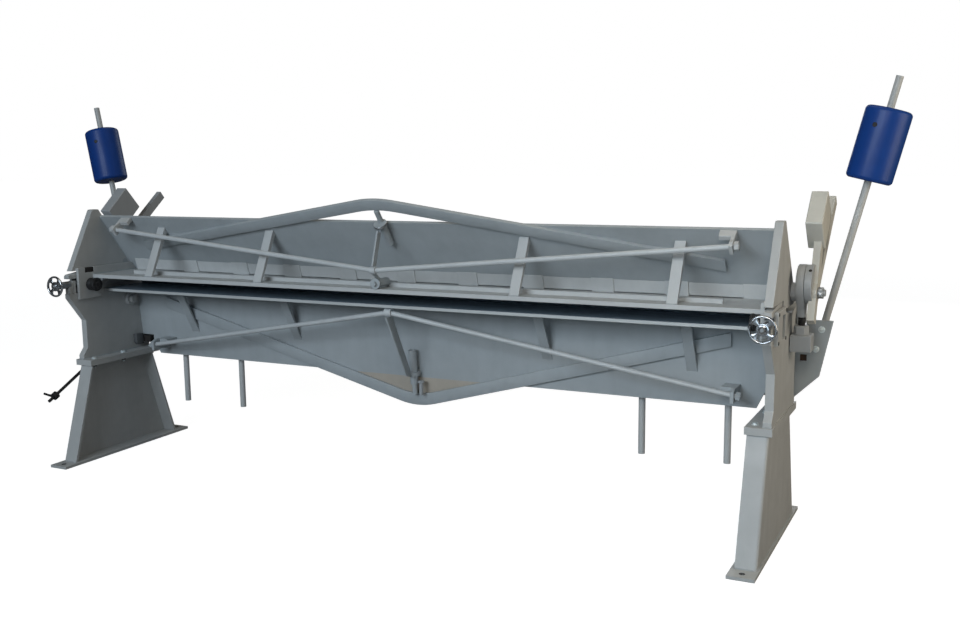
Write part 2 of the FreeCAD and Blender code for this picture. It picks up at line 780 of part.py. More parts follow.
def face_box(name, along, off, length, depth, half):
    """Make a bar lying on the clamping beam face, from its start up the face."""
    obj = doc.addObject("Part::Box", name)
    for prop, text in (("Length", f"{half} + {half}"), ("Width", length), ("Height", depth)):
        bind(obj, prop, text)
    y, z = on_face(along, off)
    obj.Placement = Placement(Vector(-worked(half), y, z), Rotation(Vector(1, 0, 0), 180 - size["lean"]))
    return obj


node(
    face_box("clamp_face", size["blade_length"], 0, "face_length - blade_length", "face_wall", "half_inner"),
    "clamp_face",
)


def make_blade():
    """Make the bending blade with its sharp front edge at the bending line."""
    low = size["bed_top"] + 0.5
    tip = (size["bend_y"] - 2, low)
    front = on_face(size["blade_length"], 0)
    back = on_face(size["blade_length"], 30)
    run = (back[1] - low) / math.tan(math.radians(size["lean"]))
    points = [tip, (front[0], front[1]), back, (back[0] + run, low)]
    blade = plate(
        "nose_blade", "YZ_Plane", fixed(points), "2 * half_inner - 30", chamfer=False, both=True,
    )
    node(blade, "nose_blade")


make_blade()


def floor_meets(z):
    """Return the point where the rear of the face plate is at a height."""
    lean = math.radians(size["lean"])
    along = (z - size["bed_top"] + size["face_wall"] * math.cos(lean)) / math.sin(lean)
    return on_face(along, size["face_wall"])


def make_floor():
    """Make the floor plate of the clamping beam with its rear stiffening bar."""
    def reach(z):
        return floor_meets(z)[0] - 0.05

    low = size["floor_z"]
    high = size["floor_z"] + size["floor_wall"]
    points = [(size["floor_rear"], low), (reach(low), low), (reach(high), high), (size["floor_rear"], high)]
    floor = plate(
        "clamp_floor_plate", "YZ_Plane", fixed(points), "2 * half_inner - 2", chamfer=False, both=True,
    )
    edge = [(-32, high - 1), (-20, high - 1), (-20, high + 16), (-32, high + 16)]
    bar = plate("clamp_floor_bar", "YZ_Plane", fixed(edge), "2 * half_inner - 360", chamfer=False, both=True)
    node(joined("clamp_floor", floor, bar), "clamp_floor")


make_floor()


def make_clamp_end(label, side):
    """Make a clamping beam end plate with its pivot lug and its eccentric shaft seat."""
    name = "clamp_end_" + label
    top = on_face(size["face_length"] + 30, -6)
    foot = size["floor_z"] + size["floor_wall"] + 23
    skirt = size["floor_z"] + 4
    low = on_face((skirt - size["bed_top"]) / math.sin(math.radians(size["lean"])), -6)
    points = [
        ("pivot_y - 93", foot), ("pivot_y + 96", foot), ("pivot_y + 96", skirt), (low[0], skirt), top,
        (top[0] - 33, top[1]), (top[0] - 39, top[1] - 4),
    ]
    wing = plate(name + "_wing", "YZ_Plane", [(y, f"{z:.3f}") for y, z in points], "frame_wall")
    place(wing, "half_inner" if side > 0 else "-1 * half_inner - frame_wall")
    deck = size["floor_z"] + size["floor_wall"] + 0.2
    crest = deck + 34.8
    lug_points = [
        ("pivot_y - 67", "pivot_z - 64"), ("pivot_y + 54", "pivot_z - 64"),
        ("pivot_y + 62", "pivot_z - 54"), ("pivot_y + 62", "floor_z - 0.5"),
        ("floor_rear - 1", "floor_z - 0.5"), ("floor_rear - 1", deck),
        (f"{floor_meets(deck)[0] - 1:.3f}", deck), (f"{floor_meets(crest)[0] - 1:.3f}", crest),
        ("floor_rear + 8", crest), ("floor_rear + 8", deck + 11), ("pivot_y - 27", deck + 11),
        ("pivot_y - 27", crest), ("pivot_y - 67", crest),
    ]
    lug = plate(name + "_lug", "YZ_Plane", lug_points, 14)
    place(lug, "half_inner - gap - 14" if side > 0 else "gap - half_inner")
    boss_x = "half_inner - gap - 48" if side > 0 else "-1 * half_inner + gap + 10"
    boss = rod(name + "_boss", 27, 38, boss_x, "pivot_y", "pivot_z", along="X")
    pad_x = "half_inner - 15" if side > 0 else "-1 * half_inner - 1"
    pad = box(name + "_pad", 16, 40, 12, pad_x, "pivot_y - 67", "floor_z + floor_wall + 23")
    weld = joined(name + "_weld", wing, lug, boss, pad)
    seat_x = f"{layer(side, 'half_inner - 0.5', 60):.3f}"
    pivot_x = f"{side * worked('half_inner - 30') - 40:.3f}"
    seat = rod(name + "_seat", "shaft_pin", 60, seat_x, "shaft_y", "shaft_z", along="X")
    pivot = rod(name + "_pivot", "pivot_pin + run_fit", 80, pivot_x, "pivot_y", "pivot_z", along="X")
    node(cut(name, weld, seat, pivot), name)


for label, side in SIDES:
    make_clamp_end(label, side)


def make_strip():
    """Make the clamping strip between the floor plate and the face plate, with its tabs."""
    floor = size["floor_z"] + size["floor_wall"]
    low = (floor_meets(floor)[0] - 27, floor + 4)
    high = on_face(168, size["face_wall"] + 1)
    run = Vector(0, high[0] - low[0], high[1] - low[1])
    run.normalize()
    out = Vector(0, -run.z, run.y)

    def spot(start, along, off):
        return start[0] + run.y * along + out.y * off, start[1] + run.z * along + out.z * off

    section = fixed([low, (low[0] + 11, low[1]), on_face(160, size["face_wall"] + 0.05), high])
    strip = plate("nose_strip_bar", "YZ_Plane", section, "2 * half_inner - 100", both=True, chamfer=False)
    foot = 4 / run.z - 0.1
    tab_section = [
        spot(low, -foot, -2), spot(high, -3, -2), spot(high, 0, 0.02), spot(high, 4, 1.5), spot(high, 4, 5),
        spot(low, 1.4 - foot, 5),
    ]
    tabs = []
    for i in range(11):
        tab = plate(f"nose_tab_{i}", "YZ_Plane", fixed(tab_section), 88, both=True)
        tabs.append(place(tab, (i - 5) * (size["half_inner"] - 97.5) / 5))
    node(joined("nose_strip", strip, *tabs), "nose_strip")


make_strip()


def bow_at(x):
    """Return how far up the face the clamping beam bow bar's centre is at an X."""
    half = size["half_inner"] - size["bow_inset"]
    return size["upper_bow_peak"] - (size["upper_bow_peak"] - size["upper_bow_end"]) * abs(x) / half


def make_clamp_bow():
    """Lay the clamping beam bow bar on the rear of the face plate."""
    half = "half_inner - bow_inset"
    bar = bow_bar("clamp_bow", "upper_bow_end", "upper_bow_peak", "upper_bow_depth", half)
    y, z = on_face(0, size["face_wall"] + 0.05)
    bar.Placement = Placement(Vector(0, y, z), Rotation(Vector(1, 0, 0), 180 - size["lean"]))
    node(bar, "clamp_bow")


make_clamp_bow()


def make_clamp_ribs():
    """Make the four flat ribs from the floor plate up to the face plate."""
    floor = size["floor_z"] + size["floor_wall"]
    back = size["face_wall"] + 0.3
    ribs = []
    for i, x in enumerate(rib_places(-4)):
        start = bow_at(x) + 50 if abs(x) > size["rib_inner"] else bow_at(x) - 71
        low = on_face(start, back)
        high = on_face(start + 26, back)
        points = [(size["floor_rear"] + 8, floor), (size["floor_rear"] + 22, floor), low, high]
        rib = plate(f"clamp_rib_{i}", "YZ_Plane", fixed(points), 40, both=True)
        ribs.append(place(rib, x))
    node(group("clamp_ribs", *ribs), "clamp_ribs")


make_clamp_ribs()

CLAMP_TIE_END = on_face(size["face_length"] - 16, 77)
CLAMP_TIE_CENTRE = (-134, 925)
node(
    tie_rods("clamp_tie_rods", "upper_tie_inset", CLAMP_TIE_END, CLAMP_TIE_CENTRE, 15, 24),
    "clamp_tie_rods",
)
LUG_TOP = size["face_length"] - 1
LUG_BACK = size["face_wall"] + 0.2
node(
    tie_ends(
        "clamp_tie_ends", "upper_tie_inset", CLAMP_TIE_END, CLAMP_TIE_CENTRE,
        [
            on_face(LUG_TOP - 36, LUG_BACK), on_face(LUG_TOP, LUG_BACK), on_face(LUG_TOP, 62),
            on_face(LUG_TOP + 6, 78), on_face(LUG_TOP + 2, 98), on_face(LUG_TOP - 36, 98),
        ],
        [
            on_face(LUG_TOP - 18, LUG_BACK), on_face(LUG_TOP, LUG_BACK), on_face(LUG_TOP, 46),
            on_face(LUG_TOP - 18, 46),
        ],
        14, 34,
    ),
    "clamp_tie_ends",
)


def make_clamp_centre():
    """Make the midspan post, its ring and the flat strut of the clamping beam."""
    lean = Rotation(Vector(1, 0, 0), 180 - size["lean"])
    up = lean.multVec(Vector(0, 1, 0))
    along = Rotation(Vector(0, 0, 1), up)
    radius = 15
    off = size["face_wall"] + radius + 0.3
    crown = size["upper_bow_peak"] - size["bow_width"] / 2
    pieces = []
    for part, wide, start, length in (
        ("sleeve", radius, 330, 116), ("ring", 27, 436, 12), ("tube", 11, 440, crown - 440 - 10)
    ):
        piece = doc.addObject("Part::Cylinder", "clamp_post_" + part)
        piece.Radius = wide
        piece.Height = length
        lift = off + 12.3 if part == "ring" else off
        piece.Placement = Placement(Vector(0, *on_face(start, lift)), along)
        pieces.append(piece)
    node(joined("clamp_post", *pieces), "clamp_post")
    floor = size["floor_z"] + size["floor_wall"]
    hub = CLAMP_TIE_CENTRE
    ring_low = on_face(435.7, off + 34)
    points = [
        (ring_low[0] - 12, ring_low[1] - 6), (ring_low[0] + 12, ring_low[1] - 16), (-118, hub[1] + 15.2),
        (-146, hub[1] + 15.2),
    ]
    strut = plate("clamp_strut_bar", "YZ_Plane", fixed(points), 8, both=True)
    foot_points = [(-144, hub[1] - 15.2), (-120, hub[1] - 15.2), (-86, floor + 40), (-107, floor + 40)]
    toe = plate("clamp_strut_toe", "YZ_Plane", fixed(foot_points), 8, both=True)
    tube = rod("clamp_strut_tube", 17, 90, 0, -124, "floor_z + floor_wall + 22.2", along="Y")
    collar = rod("clamp_strut_collar", 22, 10, 0, -126, "floor_z + floor_wall + 22.2", along="Y")
    screw = rod("clamp_strut_screw", 9, 30, 0, -138, "floor_z + floor_wall + 22.2", along="Y")
    node(group("clamp_strut", strut, toe, joined("clamp_floor_screw", tube, collar, screw)), "clamp_strut")


make_clamp_centre()


CAM_IN = "half_inner + frame_wall + 2 * gap + hub_wall"
FLANGE_IN = CAM_IN + " + strap_wall + 2 * gap"
ARM_IN = FLANGE_IN + " + flange_wall / 2"
STACK = ARM_IN.replace("half_inner + ", "") + " + arm_wall"


def make_clamp_shafts():
    """Make the eccentric shafts with their hubs, and the nuts on their outer ends."""
    shafts = []
    for label, side in SIDES:
        seat = "shaft_pin"
        profile = [
            (0, 0), (seat, 0), (seat, "frame_wall + gap"), (33, "frame_wall + gap"),
            (33, "frame_wall + gap + hub_wall - 2"), (31, "frame_wall + gap + hub_wall"),
            (seat, "frame_wall + gap + hub_wall"), (seat, STACK + " + 1"), (12, STACK + " + 1"),
            (12, STACK + " + 25"), (11, STACK + " + 27"), (0, STACK + " + 27"),
        ]
        end = worked(STACK)
        shaft = turned("clamp_shaft_" + label, profile)
        shaft.Placement = outward(side, size["shaft_y"], size["shaft_z"])
        washer = sleeve("clamp_shaft_washer_" + label, 20, 12.02, 5)
        washer.Placement = outward(side, size["shaft_y"], size["shaft_z"], end + 1.5)
        nut = doc.addObject("Part::Prism", "clamp_shaft_nut_blank_" + label)
        nut.Polygon = 6
        nut.Circumradius = 20
        nut.Height = 13
        nut.Placement = outward(side, size["shaft_y"], size["shaft_z"], end + 7)
        bore_x = f"{side * (size['half_inner'] + end + 20) - 30:.3f}"
        bore = rod("clamp_shaft_nut_bore_" + label, 12.02, 60, bore_x, "shaft_y", "shaft_z", along="X")
        shafts += [shaft, washer, cut("clamp_shaft_nut_" + label, nut, bore)]
    node(group("clamp_shafts", *shafts), "clamp_shafts")


make_clamp_shafts()


# Carriage: slide blocks in the side frame slots and the pivot pins through them

def make_carriage():
    """Make the slide blocks and the headed pivot pins."""
    blocks = []
    pins = []
    for label, side in SIDES:
        block_x = "half_inner + 1" if side > 0 else "1 - half_inner - frame_wall"
        block = box(
            "slide_block_blank_" + label, "frame_wall - 2", "2 * slide_half", "slot_high - slot_low - 0.6",
            block_x, "pivot_y - slide_half", "slot_low + 0.3",
        )
        bore_x = f"{side * worked('half_inner + frame_wall / 2') - 40:.3f}"
        bore = rod("slide_bore_" + label, "pivot_pin", 80, bore_x, "pivot_y", "pivot_z", along="X")
        blocks.append(cut("slide_block_" + label, block, bore))
        pin = turned(
            "pivot_pin_" + label,
            [(0, 0), (28, 0), (30.5, 3), (30.5, 10), ("pivot_pin", 10), ("pivot_pin", 89), (0, 89)],
        )
        pin.Placement = outward(side, size["pivot_y"], size["pivot_z"], -60)
        pins.append(pin)
    node(group("slide_blocks", *blocks), "slide_blocks")
    node(group("pivot_pins", *pins), "pivot_pins")


make_carriage()


# Handwheels on the setting spindles

def make_handwheel(label, side):
    """Make one handwheel with three spokes, and its spindle."""
    name = "handwheel_" + label
    centre = Vector(side * (size["half_inner"] + 15), size["wheel_y"], size["wheel_z"])
    rear = Rotation(Vector(0, 0, 1), Vector(0, -1, 0))
    rim = doc.addObject("Part::Torus", name + "_rim")
    rim.Radius2 = 7
    bind(rim, "Radius1", "wheel_radius - 7")
    hub = turned(name + "_hub", [(10.02, -9), (18, -9), (20, -7), (20, 5), (17, 9), (10.02, 9)])
    spokes = []
    for i in range(3):
        spoke = doc.addObject("Part::Box", f"{name}_spoke_{i}")
        spoke.Length = 30
        spoke.Width = 13
        spoke.Height = 7
        turn = Rotation(Vector(0, 0, 1), 90 + 120 * i)
        spoke.Placement = Placement(turn.multVec(Vector(15, -6.5, -3.5)), turn)
        spokes.append(spoke)
    wheel = joined(name, rim, hub, *spokes)
    wheel.Placement = Placement(centre, rear)
    node(wheel, name)
    shaft = turned(
        "spindle_" + label,
        [(0, -4), (6, -4), (8, -2), (10, 0), (10, 19), (16, 19), (16, 88), (10, 94), (10, 137.7), (0, 137.7)],
    )
    shaft.Placement = Placement(centre + Vector(0, -9, 0), Rotation(Vector(0, 0, 1), Vector(0, 1, 0)))
    node(shaft, "spindle_" + label)


for label, side in SIDES:
    make_handwheel(label, side)


# Clamping levers: eccentric, flange, weight arm, hand arm and square weight

CAM_Y, CAM_Z = polar(size["shaft_y"], size["shaft_z"], size["throw"], size["throw_angle"])


def make_lever(label, side):
    """Make one clamping lever."""
    shaft = (size["shaft_y"], size["shaft_z"])
    bore_fit = "shaft_pin + run_fit"

    def disc(part, radius, inner, wall, y, z):
        obj = doc.addObject("Part::Cylinder", part)
        bind(obj, "Radius", radius)
        obj.Height = worked(wall)
        obj.Placement = Placement(Vector(layer(side, inner, wall), y, z), Rotation(Vector(0, 1, 0), 90))
        return obj

    cam = disc("cam_blank_" + label, "cam_radius", CAM_IN, "strap_wall + gap", CAM_Y, CAM_Z)
    flange = disc("flange_blank_" + label, "strap_radius - 1", FLANGE_IN, "flange_wall", CAM_Y, CAM_Z)
    hub = disc("cam_hub_" + label, "cam_radius", FLANGE_IN + " - 2 * gap", "3 * gap", CAM_Y, CAM_Z)
    bore = disc("cam_bore_" + label, bore_fit, "half_inner + 20", 160, *shaft)
    weld = joined("eccentric_weld_" + label, cam, hub, flange)
    node(cut("eccentric_" + label, weld, bore), "eccentric_" + label)

    def arm(part, length, back, wide, degrees):
        obj = doc.addObject("Part::Box", part)
        obj.Length = length + back
        obj.Width = wide
        bind(obj, "Height", "arm_wall")
        turn = Rotation(Vector(0, 1, 0), Vector(0, 0, 1), Vector(1, 0, 0), "XYZ")
        swing = Rotation(Vector(1, 0, 0), degrees).multiply(turn)
        start = Vector(layer(side, ARM_IN, "arm_wall"), *shaft)
        obj.Placement = Placement(start + swing.multVec(Vector(-back, -wide / 2, 0)), swing)
        return obj

    block_y, block_z = polar(*shaft, 254.6, size["arm_angle"])
    weight_arm = arm("weight_arm_" + label, 300, 107, 50, size["arm_angle"])
    hand_arm = arm("hand_arm_" + label, size["grip_length"], 0, 40, size["grip_angle"])
    boss = disc("arm_boss_" + label, 36, ARM_IN, "arm_wall", *shaft)
    bore_arm = disc("arm_bore_" + label, bore_fit, "half_inner + 20", 160, *shaft)
    seat_in = FLANGE_IN + " - gap"
    seat = disc("arm_seat_" + label, "strap_radius - 0.8", seat_in, "flange_wall + 1.2 * gap", CAM_Y, CAM_Z)
    arms = joined("lever_weld_" + label, weight_arm, hand_arm, boss)
    node(cut("lever_arm_" + label, arms, bore_arm, seat), "lever_arm_" + label)
    block = doc.addObject("Part::Box", "lever_block_" + label)
    bind(block, "Length", "lever_block")
    bind(block, "Width", "lever_block_wide")
    bind(block, "Height", "lever_block_wall")
    half = size["lever_block"] / 2
    turn = Rotation(Vector(0, 1, 0), Vector(0, 0, 1), Vector(1, 0, 0), "XYZ")
    swing = Rotation(Vector(1, 0, 0), 41.8).multiply(turn)
    start = Vector(layer(side, ARM_IN + " - 23.5", "lever_block_wall"), block_y, block_z)
    corner = Vector(-half, half - size["lever_block_wide"], 0)
    block.Placement = Placement(start + swing.multVec(corner), swing)
    soft = doc.addObject("Part::Chamfer", "lever_block_edges_" + label)
    soft.Base = block
    doc.recompute()
    soft.Edges = [(i, 3.0, 3.0) for i in range(1, 13)]
    slot_arm = arm("lever_slot_" + label, 420, 20, 50.4, size["arm_angle"])
    slot_arm.setExpression("Height", linked("arm_wall + 0.4"))
    slot_arm.Placement.Base = slot_arm.Placement.Base - Vector(0.2, 0, 0)
    slot_hand = arm("lever_hand_slot_" + label, size["grip_length"], 0, 40.4, size["grip_angle"])
    slot_hand.setExpression("Height", linked("arm_wall + 0.4"))
    slot_hand.Placement.Base = slot_hand.Placement.Base - Vector(0.2, 0, 0)
    node(cut("lever_weight_" + label, soft, slot_arm, slot_hand), "lever_weight_" + label)


for label, side in SIDES:
    make_lever(label, side)


# Clamping links: strap round the eccentric, screw with lock nut, pivot block

def make_link(label, side):
    """Make one clamping link in line from the eccentric to its lower pivot."""
    head = Vector(layer(side, CAM_IN, "strap_wall + gap"), CAM_Y, CAM_Z)
    foot = Vector(head.x, size["anchor_block_y"], size["anchor_block_z"])
    down = foot - head
    reach = down.Length
    down.normalize()
    middle_x = side * worked(CAM_IN + " + 0.5 * gap + strap_wall / 2")
    middle = Vector(middle_x, CAM_Y, CAM_Z)
    rear = Rotation(Vector(0, 1, 0), 90)
    ring = doc.addObject("Part::Cylinder", "strap_ring_" + label)
    bind(ring, "Radius", "strap_radius")
    bind(ring, "Height", "strap_wall")
    strap_low = layer(side, CAM_IN + " + 0.5 * gap", "strap_wall")
    ring.Placement = Placement(Vector(strap_low, CAM_Y, CAM_Z), rear)
    neck = doc.addObject("Part::Cone", "strap_neck_" + label)
    neck.Radius1 = 22
    neck.Radius2 = 17
    neck.Height = 60
    neck.Placement = Placement(middle + down * 70, Rotation(Vector(0, 0, 1), down))
    web = doc.addObject("Part::Box", "strap_web_" + label)
    bind(web, "Length", "strap_wall")
    web.Width = 44
    web.Height = 24
    lean = Rotation(Vector(0, 0, -1), down)
    web_base = Vector(strap_low, middle.y, middle.z) + down * 78
    web.Placement = Placement(web_base + lean.multVec(Vector(0, -22, 0)), lean)
    socket = rod_between("strap_socket_" + label, 12, middle + down * 100, middle + down * (reach - 34.5))
    blank = joined("strap_weld_" + label, ring, web, neck, socket)
    bore = doc.addObject("Part::Cylinder", "strap_bore_" + label)
    bind(bore, "Radius", "cam_radius + run_fit")
    bore.Height = 60
    bore.Placement = Placement(Vector(middle_x - 30, CAM_Y, CAM_Z), rear)
    node(cut("link_strap_" + label, blank, bore), "link_strap_" + label)
    nut = doc.addObject("Part::Prism", "link_nut_blank_" + label)
    nut.Polygon = 6
    nut.Circumradius = 26.5
    nut.Height = 26
    nut.Placement = Placement(middle + down * (reach - 34 - 26.2), Rotation(Vector(0, 0, 1), down))
    nut_bore = rod_between("link_nut_bore_" + label, 12.05, middle + down * 100, middle + down * reach)
    half = size["block_size"] / 2
    block = doc.addObject("Part::Box", "link_block_blank_" + label)
    bind(block, "Length", "block_size + 4")
    bind(block, "Width", "block_size")
    bind(block, "Height", "block_size - 8")
    block_in = "half_inner + frame_wall + 2 * gap"
    base = Vector(layer(side, block_in, "block_size + 4"), size["anchor_block_y"], size["anchor_block_z"])
    block.Placement = Placement(base + lean.multVec(Vector(0, -half, 8 - half)), lean)
    pocket = doc.addObject("Part::Box", "link_pocket_" + label)
    pocket.Length = 20
    pocket.Width = 41
    pocket.Height = 34
    low = layer(side, block_in + " - 2", 20)
    corner = Vector(low, size["anchor_block_y"] - 13, size["anchor_block_z"] - 21)
    pocket.Placement = Placement(corner, Rotation())
    soft = doc.addObject("Part::Chamfer", "link_block_edges_" + label)
    soft.Base = block
    doc.recompute()
    soft.Edges = [(i, 2.0, 2.0) for i in range(1, 13)]
    pieces = (cut("link_nut_" + label, nut, nut_bore), cut("link_block_body_" + label, soft, pocket))
    node(group("link_block_" + label, *pieces), "link_block_" + label)


for label, side in SIDES:
    make_link(label, side)


# Folding beam: web with cut wings, working face bar, ribs, hinge arms, handles

def make_apron():
    """Make the folding beam plates."""
    bar_low = "bed_top - apron_bar"
    half = [
        ("half_inner + 26", "apron_bottom"),
        ("half_inner + wing_out - 43", "apron_bottom + 86"),
        ("half_inner + wing_out", "bed_top - 6"),
        ("half_inner + 63", "bed_top - 6"),
        ("half_inner + 63", "bed_top - 76"),
        ("half_inner - 4", "bed_top - 76"),
        ("half_inner - 4", bar_low),
    ]
    mirrored = [(flip(u), v) for u, v in reversed(half)]
    web = plate("apron_web_plate", "XZ_Plane", half + mirrored, "apron_wall")
    place(web, 0, "apron_y + apron_wall", 0)
    hole = box("apron_square_hole", 25, 80, 25, "half_inner + 44", "apron_y - 30", "bed_top - 159")
    node(cut("apron_web", web, hole), "apron_web")
    bar = box(
        "apron_face", "2 * half_inner - 8", "apron_face", "apron_bar",
        "4 - half_inner", "bend_y + 1", "bed_top - apron_bar",
    )
    node(bar, "apron_face")
    low = size["apron_bottom"]
    high = size["bed_top"] - size["apron_bar"]
    face = size["apron_y"] + size["apron_wall"]
    ribs = []
    for i in range(7):
        x = (i - 3) * (size["half_inner"] - 100) / 3
        points = [
            (face, low + 12), (face + 54, low + 12), (face + 54, low + 60), (face + 30, low + 100),
            (face + 30, high - 60), (face + 54, high - 20), (face + 54, high), (face, high),
        ]
        rib = plate(f"apron_rib_{i}", "YZ_Plane", fixed(points), 10, both=True)
        ribs.append(place(rib, x))
    flange = box(
        "apron_flange", "2 * half_inner - 60", 56, 12, "30 - half_inner", "apron_y + apron_wall",
        "apron_bottom",
    )
    node(group("apron_ribs", flange, *ribs), "apron_ribs")
    arms = []
    for label, side in SIDES:
        x = layer(side, "half_inner + frame_wall + 4 * gap", 16)
        eye = doc.addObject("Part::Cylinder", "apron_eye_" + label)
        bind(eye, "Radius", "eye_radius")
        eye.Height = 16
        eye.Placement = Placement(Vector(x, size["bend_y"], size["bed_top"]), Rotation(Vector(0, 1, 0), 90))
        front = "apron_y + apron_wall"
        neck_points = [
            ("bend_y - 20", "bed_top - 18"), ("bend_y - 12", "bed_top - 75"), (front, "bed_top - 75.5"),
            (front, "bed_top - 186"), (front + " + 27", "bed_top - 166"), (front + " + 27", "bed_top - 76"),
            ("bend_y + 30", "bed_top"), ("bend_y - 6", "bed_top + 4"),
        ]
        neck = plate("apron_neck_" + label, "YZ_Plane", neck_points, 16, chamfer=False)
        neck.Placement = Placement(Vector(x, 0, 0), Rotation())
        bore = doc.addObject("Part::Cylinder", "apron_eye_bore_" + label)
        bind(bore, "Radius", "hinge_pin + run_fit")
        bore.Height = 60
        middle = Vector(x - 20, size["bend_y"], size["bed_top"])
        bore.Placement = Placement(middle, Rotation(Vector(0, 1, 0), 90))
        arms.append(cut("apron_arm_" + label, joined("apron_arm_weld_" + label, eye, neck), bore))
    node(group("apron_arms", *arms), "apron_arms")


make_apron()


def make_handles():
    """Make the four hanging handles with their sockets."""
    pieces = []
    places = ("0 - handle_outer", "0 - handle_inner", "handle_inner", "handle_outer")
    for i, x in enumerate(places):
        bar = rod(f"handle_bar_{i}", "handle_bar", "apron_bottom - handle_low", x, "handle_y", "handle_low")
        socket = sleeve(f"handle_socket_{i}", 19, "handle_bar", 50)
        place(socket, x, "handle_y", "apron_bottom - 50")
        pieces.append(joined(f"handle_{i}", bar, socket))
    node(group("apron_handles", *pieces), "apron_handles")


make_handles()


# Counterweight rods and weights

MAST_Y = size["apron_y"] + size["apron_wall"] + 14.5
MAST_FOOT = Vector(size["half_inner"] + 92, MAST_Y, size["bed_top"] - 144)
MAST_TOP = Vector(size["half_inner"] + 333, MAST_FOOT.y + 50.5, size["bed_top"] + 848)


def mast_line(side):
    """Return the foot and the unit direction of a counterweight rod."""
    foot = Vector(side * MAST_FOOT.x, MAST_FOOT.y, MAST_FOOT.z)
    top = Vector(side * MAST_TOP.x, MAST_TOP.y, MAST_TOP.z)
    run = top - foot
    run.normalize()
    return foot, run


def make_masts():
    """Make the rods, their bolts, and the sliding weights with their screws."""
    masts = []
    bolts = []
    for label, side in SIDES:
        foot, run = mast_line(side)
        top = Vector(side * MAST_TOP.x, MAST_TOP.y, MAST_TOP.z)
        mast = rod_between("mast_rod_" + label, "mast_rod", foot, top)
        screws = []
        for i, step in enumerate((33, 108)):
            seat = foot + run * step
            bolt = hex_bolt(
                f"mast_bolt_{label}_{i}", 6, 30, 19, 8, f"{seat.x:.3f}", "apron_y", f"{seat.z:.3f}",
                (1, 0, 0), 90,
            )
            bolts.append(bolt)
            hole_name = f"mast_bolt_hole_{label}_{i}"
            hole = rod(hole_name, 6.2, 60, f"{seat.x:.3f}", 220, f"{seat.z:.3f}", along="Y")
            screws.append(hole)
        flat = box(
            "mast_flat_" + label, 200, 40, 220, f"{foot.x - 100:.3f}", "apron_y + apron_wall - 39.8",
            "bed_top - 176",
        )
        masts.append(cut("mast_" + label, mast, flat, *screws))
        weight = turned(
            "weight_" + label,
            [
                ("mast_rod + run_fit", 0), ("weight_radius - 14", 0), ("weight_radius - 5", 4),
                ("weight_radius", 14), ("weight_radius", "weight_length - 14"),
                ("weight_radius - 5", "weight_length - 4"),
                ("weight_radius - 14", "weight_length"), ("mast_rod + run_fit", "weight_length"),
            ],
        )
        spin = Rotation(Vector(0, 0, 1), run)
        weight.Placement = Placement(foot + run * size["weight_lift"], spin)
        hole_at = foot + run * (size["weight_lift"] + 190)
        rear = Vector(-0.35 * side, -1, 0)
        rear = rear - run * rear.dot(run)
        rear.normalize()
        hole = rod_between("weight_hole_" + label, 6.1, hole_at + rear * 30, hole_at + rear * 90)
        screw = rod_between("weight_screw_" + label, 6, hole_at + rear * 30, hole_at + rear * 74)
        body = cut("weight_body_" + label, weight, hole)
        node(group("weight_" + label + "_set", body, screw), "weight_" + label)
    node(group("masts", *masts), "masts")
    web = nodes["apron_web"]
    holes = []
    for label, side in SIDES:
        foot, run = mast_line(side)
        for i, step in enumerate((33, 108)):
            seat = foot + run * step
            holes.append(
                rod(f"web_bolt_hole_{label}_{i}", 6.2, 60, f"{seat.x:.3f}", 200, f"{seat.z:.3f}", along="Y")
            )
    node(cut("apron_web_drilled", web, *holes), "apron_web")
    web.Label = "apron_web_blank"
    nodes["apron_web"].Label = "apron_web"
    node(group("mast_bolts", *bolts), "mast_bolts")


make_masts()


# Angle stop on the left: rod hinged to the folding beam, slotted stop plate, collar

STOP_EYE = (size["apron_y"] - 24, size["bed_top"] - 185)
STOP_X = -size["half_inner"] - size["stop_out"]
STOP_SLOPE = 27.6
STOP_GUIDE_Y = 20.0


def stop_point(distance):
    """Return a point on the stop rod at a distance behind its eye."""
    y, z = polar(STOP_EYE[0], STOP_EYE[1], -distance, STOP_SLOPE)
    return Vector(STOP_X, y, z)


